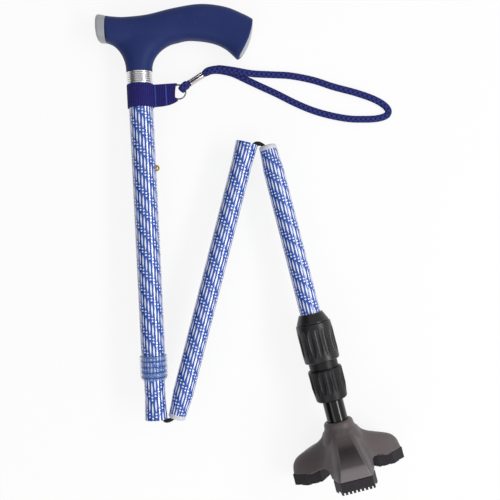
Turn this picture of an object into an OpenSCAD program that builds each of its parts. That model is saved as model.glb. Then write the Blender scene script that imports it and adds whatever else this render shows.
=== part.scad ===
// Folding cane with a tripod foot, lying half folded on a table.
// Three shaft sections are strung on one elastic cord. The top section is two tubes that slide
// for height. Every section is drawn along its own axis, z running from the handle to the foot.

/* [Upper section] */
// Outer diameter of the upper tube
outer_d = 22; // [20:0.5:26]
// Wall of the upper tube
outer_wall = 1.2; // [0.8:0.1:1.6]
// Length of the upper tube below the handle
outer_len = 275; // [240:1:320]
// Length of the sliding tube that shows below the locking ring
inner_show = 35.3; // [34:0.1:60]
// Height of the ribbed ring under the handle
collar_h = 12.6; // [8:0.5:20]
// Distance from the handle to the snap button
button_drop = 89.5; // [80:0.5:110]
// Diameter of the snap button
button_d = 6; // [5:0.1:6.4]
// How far the snap button stands out of the upper tube
button_out = 3.2; // [2:0.1:3.6]
// Distance between two height holes
hole_pitch = 12.7; // [10:0.1:16]
// Number of height holes
hole_count = 7; // [3:1:9]

/* [Shaft sections] */
// Outer diameter of the sliding, middle and lower tubes
shaft_d = 19; // [17:0.5:19]
// Wall of those tubes
shaft_wall = 1; // [0.8:0.1:1.2]
// Length of the middle section
middle_len = 259; // [220:1:300]
// Length of the lower section down to the sole
lower_len = 310; // [300:1:360]
// Diameter at the end of a plug end
plug_d = 16; // [15:0.1:16.4]
// Length of the taper on a plug end
plug_taper = 24; // [22:1:30]
// Diameter of a socket end at its mouth
socket_d = 20.8; // [20.6:0.1:21]
// Length of the flare on a socket end
socket_flare = 18; // [12:1:22]
// Length of the end ring that shows on a plug end
end_ring_len = 4.5; // [3:0.5:8]
// Depth that a plug end seats in its socket
seat_depth = 20; // [12:0.5:20]
// Diameter of the elastic cord
elastic_d = 3; // [2.5:0.1:3.4]

/* [Handle] */
// Thickness of the handle across the fold plane
handle_depth = 28; // [24:0.5:32]
// Diameter of the handle's stem
stem_d = 23.8; // [23.2:0.1:26]
// Length of the spigot that holds the handle in the tube
spigot_len = 62; // [50:1:70]

/* [Wrist strap] */
// Width of the webbing band
band_w = 21; // [16:0.5:26]
// Thickness of the webbing
webbing = 1.1; // [0.8:0.1:1.6]
// Distance from the tube's axis to the end of the tab
tab_reach = 34; // [30:0.5:36]
// Width of the tab at its end
tab_end_w = 15.3; // [12:0.5:20]
// Outer diameter of the split ring
split_ring_d = 14; // [13:0.5:16]
// Wire of the split ring
split_ring_wire = 1.2; // [0.8:0.1:1.3]
// Width of the flat braided cord
cord_w = 6.4; // [5:0.1:7]
// Thickness of the flat braided cord
cord_t = 4; // [3:0.1:4.2]

/* [Locking ring] */
// Outer diameter of the locking ring over its ridges
lock_d = 25.4; // [24.8:0.1:27]
// Height of the locking ring
lock_h = 23; // [18:0.5:26]
// Number of ridges round the locking ring
lock_ridges = 4; // [2:1:6]

/* [Twist collars] */
// Distance from the sole up to the top of the collars
collars_up = 152; // [140:1:170]
// Diameter of the grip barrel
barrel_d = 33; // [31:0.1:35]
// Length of the grip barrel
barrel_len = 35; // [30:0.5:40]
// Length of the tapered ring above the barrel
taper_ring_len = 9; // [6:0.5:12]
// Diameter of the neck between the barrel and the nut
neck_d = 26.4; // [25:0.1:28]
// Length of the neck that shows
neck_len = 7.5; // [5:0.5:10]
// Diameter of the lower nut at its top
nut_d = 31.4; // [29:0.1:33]
// Diameter of the lower nut at its bottom
nut_bottom_d = 28.4; // [27:0.1:29]
// Length of the lower nut
nut_len = 29; // [28:0.5:34]
// Number of flutes round each grip
flute_count = 16; // [8:1:18]
// Depth of a flute
flute_depth = 1.4; // [0.6:0.1:1.4]

/* [Tripod foot] */
// Distance from the axis to the end of a leg
foot_r = 52; // [48:0.5:60]
// Height of the foot from the sole to the top of its hub
foot_h = 52; // [50:0.5:60]
// Diameter of the hub at its top
hub_d = 27; // [25:0.1:30]
// Width of a leg at its end
leg_end_w = 28; // [22:0.5:30]
// Widest width of a leg
leg_w = 37; // [32:0.5:40]
// Thickness of a rubber pad
pad_h = 10; // [7:0.5:12]
// Depth of the tread grooves in a pad
tread_depth = 2; // [1:0.1:3]

/* [Pose in the photograph] */
// Lean of the upper section
upper_lean = 2.8; // [0:0.1:8]
// Lean of the middle section, the other way
middle_lean = 14.3; // [12:0.1:25]
// Lean of the lower section
lower_lean = 14.4; // [12:0.1:25]

/* [Hidden] */
$fn = 72;

// Clearance round pieces that slide or turn, and round pieces that are pressed together
slide_gap = 0.3;
snug_gap = 0.05;
outer_r = outer_d / 2;
outer_bore = outer_r - outer_wall;
shaft_r = shaft_d / 2;
shaft_bore = shaft_r - shaft_wall;
plug_r = plug_d / 2;
socket_r = socket_d / 2;
elastic_r = elastic_d / 2;

// Fold geometry: a hinge line lies beside each mouth, where the elastic bends over the rim
hinge_out = 9;
hinge_past_mouth = 1;
hinge_before_tip = 3;
seat_travel = seat_depth + hinge_past_mouth + hinge_before_tip;
lock_foot = 7;
mouth_z = outer_len + slide_gap + lock_foot + inner_show;
inner_top = button_drop - 26;

// Headings of the three sections in the plane of the zig-zag, and their first points
upper_heading = upper_lean;
middle_heading = 180 - middle_lean;
lower_heading = lower_lean;
upper_from = [-100.8, 163.4];
hinge_a = section_point(upper_from, upper_heading, [hinge_out, mouth_z + hinge_past_mouth]);
middle_from = section_point(hinge_a, middle_heading, [-hinge_out, hinge_before_tip]);
hinge_b = section_point(middle_from, middle_heading, [-hinge_out, middle_len + hinge_past_mouth]);
lower_from = section_point(hinge_b, lower_heading, [hinge_out, hinge_before_tip]);

// Lie of the zig-zag plane: two pads of the foot and the nose of the handle touch the table
pad_low = foot_r * cos(60) + leg_end_w / 2 * sin(60);
pad_top_along = along_fall(section_point(lower_from, lower_heading, [0, lower_len - pad_h]));
nose_along = along_fall(section_point(upper_from, upper_heading, [-30, -40]));
tilt = atan((pad_low - handle_depth / 2) / (nose_along - pad_top_along));
rise = pad_low * cos(tilt) + pad_top_along * sin(tilt);
table_at = [-1.4, -2.3];

// Place in the plane of a point given across and along a section
function section_point(from, heading, p) =
    from + p[0] * [cos(heading), sin(heading)] + p[1] * [sin(heading), -cos(heading)];

// How far a point of the plane lies along the line on which the plane falls
function along_fall(p) = -sin(lower_heading) * p[0] + cos(lower_heading) * p[1];

// Turn of a vector about the line on which the plane does not fall
function lay_vector(v) =
    let (
        axis = [cos(lower_heading), sin(lower_heading), 0],
        c = cos(-tilt),
        s = sin(-tilt)
    )
    v * c + cross(axis, v) * s + axis * (axis * v) * (1 - c);
function lay_point(p) = lay_vector(p) + [table_at[0], table_at[1], rise];

module lay() {
    translate([table_at[0], table_at[1], rise])
        rotate(a = -tilt, v = [cos(lower_heading), sin(lower_heading), 0])
            children();
}

module along_section(from, heading) {
    lay()
        translate([from[0], from[1], 0])
            rotate([0, 0, heading])
                rotate([90, 0, 0])
                    children();
}

module on_upper() {
    along_section(upper_from, upper_heading) children();
}

module on_middle() {
    along_section(middle_from, middle_heading) children();
}

module on_lower() {
    along_section(lower_from, lower_heading) children();
}

// Closed skin over rings of points, all with the same number of points
module loft(rings) {
    sides = len(rings[0]);
    last = len(rings) - 1;
    walls = [
        for (i = [0 : last - 1], j = [0 : sides - 1])
            let (k = (j + 1) % sides)
            each [
                [i * sides + j, i * sides + k, (i + 1) * sides + k],
                [i * sides + j, (i + 1) * sides + k, (i + 1) * sides + j]
            ]
    ];
    first_cap = [for (j = [1 : sides - 2]) [0, j + 1, j]];
    last_cap = [for (j = [1 : sides - 2]) [last * sides, last * sides + j, last * sides + j + 1]];
    polyhedron(points = [for (ring = rings) each ring], faces = concat(walls, first_cap, last_cap));
}

// Smooth curve through a list of points, with a number of steps between neighbours
function smooth_point(p, i, t) =
    let (
        n = len(p) - 1,
        a = p[max(i - 1, 0)],
        b = p[i],
        c = p[min(i + 1, n)],
        d = p[min(i + 2, n)]
    )
    0.5 * (2 * b + (c - a) * t + (2 * a - 5 * b + 4 * c - d) * t * t + (3 * b - a - 3 * c + d) * t * t * t);
function smooth_curve(p, steps) = [
    for (i = [0 : len(p) - 2], s = [0 : steps - 1]) smooth_point(p, i, s / steps),
    p[len(p) - 1]
];

// Rings of an oval tube swept along a path. Each point of the path holds a place and the two
// half widths there; the first half width lies level across the path
function place_of(p) = [p[0], p[1], p[2]];
function path_direction(p, i) =
    let (d = place_of(p[min(i + 1, len(p) - 1)] - p[max(i - 1, 0)]))
    d / norm(d);
function level_side(d) = let (s = cross(d, [0, 0, 1])) s / norm(s);
function sweep_rings(p, sides) = [
    for (i = [0 : len(p) - 1])
        let (
            d = path_direction(p, i),
            side = level_side(d),
            rise_dir = cross(side, d)
        )
        [
            for (j = [0 : sides - 1])
                let (a = 360 * j / sides)
                place_of(p[i]) + side * p[i][3] * cos(a) + rise_dir * p[i][4] * sin(a)
        ]
];

// Wall of a shaft tube: a socket flare towards the end and a plug taper at the start
function tube_profile(start, end, plugged, flared) =
    let (
        tip = plugged ? plug_r - shaft_r : 0,
        mouth = flared ? socket_r - shaft_r : 0,
        from = plugged ? start + plug_taper - end_ring_len : start,
        to = flared ? end - socket_flare : end
    )
    [
        [shaft_r + tip, start],
        if (plugged) [shaft_r, from],
        if (flared) [shaft_r, to],
        [shaft_r + mouth, end],
        [shaft_bore + mouth, end],
        if (flared) [shaft_bore, to],
        if (plugged) [shaft_bore, from],
        [shaft_bore + tip, start]
    ];

// Ring that closes a plug end, with a spigot glued into the tube
module end_ring() {
    tube_in = plug_r - shaft_wall - snug_gap;
    cord_hole = elastic_r + 3.2;
    rotate_extrude()
        polygon([
            [cord_hole + 0.8, 0],
            [plug_r - 2.2, 0],
            [plug_r - 1, 0.35],
            [plug_r - 0.35, 1],
            [plug_r, 2.2],
            [plug_r, end_ring_len],
            [tube_in, end_ring_len],
            [tube_in, end_ring_len + 8],
            [cord_hole, end_ring_len + 8],
            [cord_hole, 0.8]
        ]);
}

// Handle: top and bottom edges of the bar from nose to tail, across and along the upper section
bar_top = [
    [-27.2, -50.3], [-20, -49.2], [-9.8, -48.5], [10.2, -49.8], [34.6, -54.6], [59, -57], [81, -53.4],
    [97.2, -46.1], [104.6, -41.8]
];
bar_bottom = [
    [-28.7, -26.8], [-20, -23.6], [-8, -22], [12, -22], [31, -23], [46.4, -25.3], [66.2, -22.2],
    [79.1, -16], [89.1, -6.1]
];
bar_sides = 24;
bar_fullness = 2.5;
bar_steps = 4;

function sign_power(v, e) = sign(v) * pow(abs(v), e);
function bar_ring(top, bottom, depth) =
    let (mid = (top + bottom) / 2, half = (top - bottom) / 2, e = 2 / bar_fullness)
    [
        for (j = [0 : bar_sides - 1])
            let (
                a = 360 * j / bar_sides,
                p = mid + half * sign_power(sin(a), e)
            )
            [p[0], depth / 2 * sign_power(cos(a), e), p[1]]
    ];

// Slanted end of the bar and its cap: distance out from the last section and share of its size
bar_end_rows = [[1.2, 0.99], [2.2, 0.96], [3, 0.9], [3.6, 0.82]];
tail_rows = [[3.65, 0.8], [4.2, 0.7], [4.9, 0.5], [5.4, 0.28], [5.6, 0.1]];
function tail_ring(row) =
    let (
        top = bar_top[len(bar_top) - 1],
        bottom = bar_bottom[len(bar_bottom) - 1],
        mid = (top + bottom) / 2,
        edge = (bottom - top) / norm(bottom - top),
        out = [edge[1], -edge[0]] * row[0]
    )
    bar_ring(mid + (top - mid) * row[1] + out, mid + (bottom - mid) * row[1] + out, handle_depth * row[1]);

// Stem: both edges are quarter ellipses that flare from the stem's foot into the bar
flare_right = [34, 25.3];
flare_left = [22, 27.5];
stem_levels = [0, 4, 8, 12, 16, 20, 23, 25];
stem_sides = 28;
function flare(size, z) = size[0] * (1 - sqrt(1 - pow(z / size[1], 2)));
function stem_depth(z) = stem_d + (handle_depth - 0.8 - stem_d) * min(z / 34, 1);
function stem_ring(z, left, right, depth) =
    let (mid = (right - left) / 2, half = (left + right) / 2)
    [
        for (j = [0 : stem_sides - 1])
            let (a = 360 * j / stem_sides)
            [mid + half * cos(a), depth / 2 * sin(a), -z]
    ];
// Rings of the stem inside the bar: height, and reach to the left and right
stem_inside = [[29, 22, 36], [34, 17, 28], [38, 10, 18]];
function stem_rings() = [
    for (z = stem_levels)
        stem_ring(z, stem_d / 2 + flare(flare_left, z), stem_d / 2 + flare(flare_right, z), stem_depth(z)),
    for (row = stem_inside)
        stem_ring(row[0], row[1], row[2], stem_depth(row[0]) - 0.1 * max(row[0] - 34, 0))
];
function reversed(v) = [for (i = [len(v) - 1 : -1 : 0]) v[i]];

spigot_r = outer_bore - snug_gap;
spigot_up = 28;
stem_skirt = 2;

module handle_grip() {
    tops = smooth_curve(bar_top, bar_steps);
    bottoms = smooth_curve(bar_bottom, bar_steps);
    color("#2d3a6e")
        on_upper()
            difference() {
                union() {
                    loft(concat(
                        [for (i = [0 : len(tops) - 1]) bar_ring(tops[i], bottoms[i], handle_depth)],
                        [for (row = bar_end_rows) tail_ring(row)]
                    ));
                    loft(stem_rings());
                    translate([0, 0, -stem_skirt])
                        cylinder(d = stem_d, h = 2 * stem_skirt);
                }
                cylinder(r = outer_r + snug_gap, h = stem_skirt + 1);
                translate([0, 0, -spigot_up - snug_gap])
                    cylinder(r = spigot_r + snug_gap, h = spigot_up + 1);
            }
}

// Nose cap: top edge, bottom edge and share of the handle's thickness, from the bar outwards
nose_rows = [
    [[-27.3, -50.35], [-28.8, -26.8], 1],
    [[-31, -51.4], [-31.3, -27], 1],
    [[-33.8, -51.9], [-33.7, -27.4], 1],
    [[-35.3, -51.3], [-35.3, -28.3], 0.97],
    [[-36.2, -49.4], [-36.3, -30.4], 0.86],
    [[-36.9, -45], [-37, -36], 0.5]
];
module handle_nose_cap() {
    color("#a9abb0")
        on_upper()
            loft(reversed([for (row = nose_rows) bar_ring(row[0], row[1], handle_depth * row[2])]));
}

// Tail cap: a domed plate on the bulging end of the bar
module handle_tail_cap() {
    color("#b9bbc0")
        on_upper()
            loft([for (row = tail_rows) tail_ring(row)]);
}

module handle_spigot() {
    color("#5a5d66")
        on_upper()
            translate([0, 0, -spigot_up])
                difference() {
                    cylinder(r = spigot_r, h = spigot_len);
                    translate([0, 0, spigot_up - 8])
                        cylinder(r = spigot_r - 2.4, h = spigot_len);
                    translate([0, 0, spigot_up + collar_h / 2])
                        rotate([0, 90, 0])
                            cylinder(d = rivet_d + 2 * snug_gap, h = outer_d, center = true);
                }
}

rivet_d = 3;
module handle_rivet() {
    color("#c0c2c6")
        on_upper()
            translate([0, 0, collar_h / 2])
                rotate([0, 90, 0])
                    cylinder(d = rivet_d, h = outer_d - 0.6, center = true);
}

collar_r = stem_d / 2 - 0.2;
collar_groove = 0.5;
module handle_collar() {
    ribs = 4;
    shown = collar_h - stem_skirt;
    pitch = (shown - 3) / ribs;
    color("#d7d9dd")
        on_upper()
            translate([0, 0, stem_skirt + snug_gap])
                difference() {
                    cylinder(r = collar_r, h = shown - snug_gap);
                    translate([0, 0, -1])
                        cylinder(r = outer_r + snug_gap, h = collar_h + 2);
                    for (i = [0 : ribs])
                        translate([0, 0, 1.5 + i * pitch])
                            rotate_extrude()
                                translate([collar_r + 0.1, 0])
                                    circle(r = collar_groove, $fn = 24);
                }
}

module outer_tube() {
    color("#4468b8")
        on_upper()
            difference() {
                cylinder(r = outer_r, h = outer_len);
                translate([0, 0, -1])
                    cylinder(r = outer_bore, h = outer_len + 2);
                for (i = [0 : hole_count - 1])
                    translate([0, 0, button_drop + i * hole_pitch])
                        rotate([0, 90, 0])
                            cylinder(d = button_d + 2 * slide_gap, h = outer_d);
                translate([0, 0, collar_h / 2])
                    rotate([0, 90, 0])
                        cylinder(d = rivet_d + 2 * snug_gap, h = outer_d + 2, center = true);
            }
}

// Webbing band: a loop round the tube and a doubled tab. The tab's end is folded through the split
// ring, and the ring's wire lies in the pocket between the two layers
band_r = outer_r + snug_gap + webbing;
band_z = collar_h + 0.6;
tab_mid = tab_end_w / 2 + 0.35;
pocket_half = split_ring_wire * 0.96 + 0.15;
pocket_from = tab_reach - 6.8;
tongue_w = 5;
tab_hollow = 3;
pocket_end = tab_reach - tab_hollow - webbing;
module tab_side() {
    thin = webbing;
    thick = pocket_half + webbing;
    polygon([
        [0, thin], [band_r + 4, thin], [pocket_from, thick], [tab_reach - 0.8, thick], [tab_reach, thick - 0.8],
        [tab_reach, 0.8 - thick], [tab_reach - 0.8, -thick], [pocket_from, -thick], [band_r + 4, -thin], [0, -thin]
    ]);
}

module tab_outline() {
    near = tab_mid - 0.3;
    far = tab_end_w / 2;
    low = band_w - tab_mid - 0.3;
    polygon([
        [0, -near], [band_r, -near], [tab_reach, -far], [tab_reach - tab_hollow * 0.75, -far / 2],
        [tab_reach - tab_hollow, 0], [tab_reach - tab_hollow * 0.75, far / 2], [tab_reach, far],
        [band_r + 12, low - 1.2], [band_r, low], [0, low]
    ]);
}

module strap_band() {
    color("#28236e")
        on_upper()
            translate([0, 0, band_z])
                difference() {
                    union() {
                        cylinder(r = band_r, h = band_w);
                        intersection() {
                            linear_extrude(band_w)
                                tab_side();
                            translate([0, band_w, tab_mid])
                                rotate([90, 0, 0])
                                    linear_extrude(2 * band_w)
                                        tab_outline();
                        }
                    }
                    translate([0, 0, -1])
                        cylinder(r = outer_r + snug_gap, h = band_w + 2);
                    translate([pocket_from + 0.6, -pocket_half, -1])
                        cube([pocket_end - pocket_from - 0.6, 2 * pocket_half, band_w + 2]);
                    for (end = [-1, 1])
                        translate([pocket_end - 0.2, -pocket_half, tab_mid + end * (tongue_w + band_w) / 2 - band_w / 2])
                            cube([band_w, 2 * pocket_half, band_w]);
                }
}

ring_r = split_ring_d / 2 - split_ring_wire / 2;
ring_x = pocket_from + 0.75 + split_ring_d / 2;
module split_ring() {
    color("#c9cbd0")
        on_upper()
            translate([ring_x, 0, band_z + tab_mid])
                rotate([90, 0, 0])
                    rotate_extrude()
                        for (turn = [-0.46, 0.46])
                            translate([ring_r, turn * split_ring_wire])
                                circle(d = split_ring_wire, $fn = 24);
}

// Wrist cord: an eye round the ring's wire, both strands through the crimp, and a loop on the table
eye_turn = 44;
eye_plane = section_point(upper_from, upper_heading, [ring_x, band_z + tab_mid])
    + ring_r * [cos(eye_turn), sin(eye_turn)];
eye_at = lay_point([eye_plane[0], eye_plane[1], 0]);
crimp_from = eye_at + [4.4, 4.3, -6.6];
crimp_to = [eye_at[0] + 15.8, eye_at[1] + 12.8, 4.4];
crimp_run = (crimp_to - crimp_from) / norm(crimp_to - crimp_from);
crimp_up = cross(level_side(crimp_run), crimp_run);
eye_cord = [2, 1.1];
crimp_cord = [2.1, 0.95];
cord_half = [cord_w / 2, cord_t / 2];
cord_z = cord_t / 2 + 0.2;
function eye_point(x, y, z) = concat(eye_at + [x, y, z], eye_cord);
function crimp_point(share, up) = concat(crimp_from + (crimp_to - crimp_from) * share + crimp_up * up, crimp_cord);
function table_point(x, y, lift) = concat([x + table_at[0], y + table_at[1], cord_z + lift], cord_half);
cord_over = cord_t + 0.2;
loop_route = [
    [-31, 166.4, cord_over], [-14, 164.8, cord_over], [2, 162.4, cord_over / 2], [20, 162, 0], [38, 161, 0],
    [59, 157, 0], [78, 151, 0], [99, 145.5, 0], [115, 140, 0], [125, 134.5, 0], [129.5, 129, 0], [127.5, 124.4, 0],
    [118.5, 121.6, 0], [105, 121, 0], [92, 121.5, 0], [76, 124.3, 0], [59, 129, 0], [42, 136, 0], [25, 144.4, 0],
    [9, 151.6, 0], [-4, 157.6, 0], [-16, 163, 0], [-28, 165.6, 0]
];
cord_route = concat(
    [
        eye_point(-1.75, -1.7, 0.2), eye_point(-1.3, -1.25, 1.9), eye_point(0, 0, 2.6), eye_point(2.8, 2.7, 0.2),
        crimp_point(0, 1), crimp_point(0.5, 1), crimp_point(1, 1),
        concat(crimp_to + [4.4, 3, 1.5], [2.8, 1.6]), concat(crimp_to + [8.6, 5.2, cord_z + cord_over - 4.4], cord_half)
    ],
    [for (p = loop_route) table_point(p[0], p[1], p[2])],
    [
        concat(crimp_to + [8.4, 4.6, cord_z - 4.4], cord_half), concat(crimp_to + [4, 2.4, -2], [2.8, 1.6]),
        crimp_point(1, -1), crimp_point(0.5, -1), crimp_point(0, -1),
        eye_point(2.2, 2.1, -4.4), eye_point(0, 0, -2.6), eye_point(-1.3, -1.25, -1.9), eye_point(-1.75, -1.7, -0.2)
    ]
);
cord_sides = 10;
module wrist_cord() {
    color("#2d3790")
        loft(sweep_rings(smooth_curve(cord_route, 2), cord_sides));
}

// Crimp: a sleeve squeezed round both strands
crimp_half = [3.3, 2.9];
crimp_bore = [2.7, 2.2];
module cord_crimp() {
    past = crimp_run * 0.5;
    color("#c4c6ca")
        difference() {
            loft(sweep_rings([
                for (share = [0, 0.5, 1])
                    concat(crimp_from + (crimp_to - crimp_from) * share, crimp_half)
            ], 20));
            loft(sweep_rings([
                concat(crimp_from - past, crimp_bore), concat(crimp_to + past, crimp_bore)
            ], 20));
        }
}

// Locking ring: a clear screw ring over a split bush at the end of the upper tube
lock_top = outer_len + slide_gap + lock_foot - lock_h;
module lock_bush() {
    color("#8fa6cf")
        on_upper()
            translate([0, 0, outer_len + 0.1])
                difference() {
                    cylinder(r = outer_r - 0.2, h = lock_foot - 2.2);
                    translate([0, 0, -1])
                        cylinder(r = shaft_r + slide_gap, h = lock_foot + 2);
                    translate([-outer_d, -0.8, -1])
                        cube([outer_d, 1.6, lock_foot + 2]);
                }
}

module lock_ring() {
    ridge = lock_h / (lock_ridges + 0.6);
    waist = lock_d / 2 - 0.6;
    bore = outer_r + slide_gap;
    foot_bore = shaft_r + slide_gap;
    color("#6f8fd0", 0.6)
        on_upper()
            translate([0, 0, lock_top])
                difference() {
                    union() {
                        cylinder(r = waist, h = lock_h - 3);
                        translate([0, 0, lock_h - 3])
                            cylinder(r1 = waist, r2 = foot_bore + 0.9, h = 3);
                        for (i = [0 : lock_ridges - 1])
                            translate([0, 0, ridge * (i + 0.6)])
                                rotate_extrude()
                                    translate([lock_d / 2 - ridge * 0.42, 0])
                                        circle(r = ridge * 0.42, $fn = 32);
                    }
                    translate([0, 0, -1])
                        cylinder(r = bore, h = lock_h - 1);
                    cylinder(r = foot_bore, h = lock_h + 1);
                }
}

module inner_tube() {
    color("#4a6fc0")
        on_upper()
            difference() {
                rotate_extrude()
                    polygon(tube_profile(inner_top, mouth_z, false, true));
                translate([0, 0, button_drop])
                    rotate([0, 90, 0])
                        cylinder(d = button_d + 2 * slide_gap, h = outer_d);
            }
}

// Snap button: a domed pin with a flange inside the sliding tube
flange_x = shaft_bore - 2.3;
flange_t = 1;
flange_d = button_d + 2.2;
module snap_button() {
    head = outer_r + button_out - button_d / 2;
    color("#c2a55c")
        on_upper()
            translate([0, 0, button_drop])
                rotate([0, 90, 0]) {
                    translate([0, 0, flange_x])
                        cylinder(d = flange_d, h = flange_t);
                    translate([0, 0, flange_x])
                        cylinder(d = button_d, h = head - flange_x);
                    translate([0, 0, head])
                        sphere(d = button_d);
                }
}

// Leaf spring behind the button: a strip bent back on itself
leaf_t = 0.6;
leaf_w = 5;
module button_spring() {
    back = 0.1 - sqrt(pow(shaft_bore, 2) - pow(leaf_w / 2, 2));
    front = flange_x - 0.05;
    span = (front - back) / 2;
    leg = 20;
    foot = -4;
    bend = [for (a = [0 : 15 : 180]) a];
    color("#8e9096")
        on_upper()
            translate([0, leaf_w / 2, button_drop])
                rotate([90, 0, 0])
                    linear_extrude(leaf_w)
                        polygon(concat(
                            [[front, foot]],
                            [for (a = bend) [back + span + span * cos(a), leg + span * sin(a)]],
                            [[back, foot], [back + leaf_t, foot]],
                            [
                                for (a = reversed(bend))
                                    [back + span + (span - leaf_t) * cos(a), leg + (span - leaf_t) * sin(a)]
                            ],
                            [[front - leaf_t, foot]]
                        ));
}

// Bush at the top of the sliding tube, running in the upper tube
module glide_bush() {
    color("#d8d9dc")
        on_upper()
            translate([0, 0, inner_top])
                rotate_extrude()
                    polygon([
                        [shaft_bore - 2, -4], [outer_bore - 0.9, -4], [outer_bore - 0.1, -3.2], [outer_bore - 0.1, -0.1],
                        [shaft_bore - snug_gap, -0.1], [shaft_bore - snug_gap, 8], [shaft_bore - 2, 8]
                    ]);
}

// Plugs that hold the ends of the elastic, each a turned plug with a waist and a cord hole
module anchor() {
    plug_len = 14;
    plug_r_in = shaft_bore - snug_gap;
    rotate_extrude()
        polygon([
            [elastic_r + 0.05, 0], [plug_r_in - 0.8, 0], [plug_r_in, 0.8], [plug_r_in, 4],
            [plug_r_in - 1.4, 5], [plug_r_in - 1.4, plug_len - 5], [plug_r_in, plug_len - 4],
            [plug_r_in, plug_len - 0.8], [plug_r_in - 0.8, plug_len], [elastic_r + 0.05, plug_len]
        ]);
}

upper_anchor_z = button_drop + 40;
module upper_anchor() {
    color("#3b3c42")
        on_upper()
            translate([0, 0, upper_anchor_z])
                anchor();
}

collars_at = lower_len - collars_up;
lower_anchor_z = collars_at - 30;
module lower_anchor() {
    color("#3b3c42")
        on_lower()
            translate([0, 0, lower_anchor_z])
                anchor();
}

// Elastic cord: a straight run inside each section, and a bend at each fold
bridge_in_mouth = 28;
bridge_in_tip = 32;
module elastic_upper() {
    color("#1c1c1e")
        on_upper()
            translate([0, 0, upper_anchor_z])
                cylinder(r = elastic_r, h = mouth_z - bridge_in_mouth - upper_anchor_z);
}

module elastic_middle() {
    color("#1c1c1e")
        on_middle()
            translate([0, 0, bridge_in_tip])
                cylinder(r = elastic_r, h = middle_len - bridge_in_mouth - bridge_in_tip);
}

module elastic_lower() {
    color("#1c1c1e")
        on_lower()
            translate([0, 0, bridge_in_tip])
                cylinder(r = elastic_r, h = lower_anchor_z + 14 - bridge_in_tip);
}

// Route of the bend: down the first mouth, under its rim and up into the plug end beside it
mouth_route = [[0, snug_gap - bridge_in_mouth], [0, -18], [2.4, -7], [5.4, -1.4], [7.6, 1.2], [9.4, 1.9]];
tip_route = [[6.3, -3], [4.2, -1.5], [2.6, 0.6], [1.3, 4], [0.3, 10], [0, 18], [0, bridge_in_tip - snug_gap]];
function bridge_route(from, heading, mouth, tip_from, tip_heading, side) = concat(
    [for (p = mouth_route) section_point(from, heading, [side * p[0], mouth + p[1]])],
    [for (p = tip_route) section_point(tip_from, tip_heading, [side * p[0], p[1]])]
);
module bridge(route) {
    color("#1c1c1e")
        lay()
            loft(sweep_rings(smooth_curve([for (p = route) [p[0], p[1], 0, elastic_r, elastic_r]], 2), 10));
}

module elastic_bridge_a() {
    bridge(bridge_route(upper_from, upper_heading, mouth_z, middle_from, middle_heading, 1));
}

module elastic_bridge_b() {
    bridge(bridge_route(middle_from, middle_heading, middle_len, lower_from, lower_heading, -1));
}

module middle_end_ring() {
    color("#b4b6ba")
        on_middle()
            end_ring();
}

module middle_tube() {
    color("#4a6fc0")
        on_middle()
            rotate_extrude()
                polygon(tube_profile(end_ring_len, middle_len, true, true));
}

module lower_end_ring() {
    color("#b4b6ba")
        on_lower()
            end_ring();
}

// The lower tube ends inside the collars, above the foot's shaft
neck_at = collars_at + taper_ring_len + barrel_len;
nut_at = neck_at + neck_len;
nut_end = nut_at + nut_len;
tube_end = neck_at + neck_len / 2 - 0.5;
shaft_start = neck_at + neck_len / 2 + 0.5;
module lower_tube() {
    color("#4a6fc0")
        on_lower()
            rotate_extrude()
                polygon(tube_profile(end_ring_len, tube_end, true, false));
}

// Core of the coupling: a sleeve over both tubes, with the neck between the two grips
core_r = shaft_r + snug_gap + 2.2;
collet_h = 4;
nut_wall = 2.4;
core_reach = nut_len - nut_wall - collet_h - 0.6;
barrel_at = collars_at + taper_ring_len;
module collar_core() {
    color("#323034")
        on_lower()
            difference() {
                union() {
                    translate([0, 0, neck_at - core_reach])
                        cylinder(r = core_r, h = 2 * core_reach + neck_len);
                    translate([0, 0, neck_at + 0.2])
                        cylinder(d = neck_d, h = neck_len - 0.4);
                }
                translate([0, 0, neck_at - core_reach - 1])
                    cylinder(r = shaft_r + snug_gap, h = 2 * core_reach + neck_len + 2);
                for (a = [0, 90])
                    rotate([0, 0, a])
                        for (z = [neck_at - core_reach - 1, nut_at + core_reach - 13])
                            translate([-core_r - 1, -0.6, z])
                                cube([2 * core_r + 2, 1.2, 14]);
            }
}

// Collets that the grips squeeze on to the tubes
module collet() {
    difference() {
        cylinder(r1 = shaft_r + 1.2, r2 = core_r - 0.1, h = collet_h);
        translate([0, 0, -1])
            cylinder(r = shaft_r + snug_gap, h = collet_h + 2);
        translate([0, -0.7, -1])
            cube([shaft_d, 1.4, collet_h + 2]);
    }
}

module upper_collet() {
    color("#48464b")
        on_lower()
            translate([0, 0, neck_at - core_reach - collet_h - 0.2])
                collet();
}

module lower_collet() {
    color("#48464b")
        on_lower()
            translate([0, 0, nut_at + core_reach + collet_h + 0.2])
                mirror([0, 0, 1])
                    collet();
}

// Tapered ring that covers the top of the barrel
module clamp_cone() {
    color("#2f2d31")
        on_lower()
            translate([0, 0, collars_at])
                rotate_extrude()
                    polygon([
                        [shaft_r + snug_gap, 0], [shaft_r + 1.5, 0], [barrel_d / 2 - 1.7, taper_ring_len - 1.2],
                        [barrel_d / 2 - 1.7, taper_ring_len - 0.3], [shaft_r + snug_gap, taper_ring_len - 0.3]
                    ]);
}

// Flutes: long shallow lens shapes, cut by rings whose wire only grazes the grip
flute_ring_r = 70;
flute_wire = 3.4;
module flutes(grip_r, mid_z) {
    for (i = [0 : flute_count - 1])
        rotate([0, 0, 360 * i / flute_count])
            translate([grip_r - flute_depth + flute_ring_r + flute_wire, 0, mid_z])
                rotate([90, 0, 0])
                    rotate_extrude($fn = 96)
                        translate([flute_ring_r, 0])
                            circle(r = flute_wire, $fn = 32);
}

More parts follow.
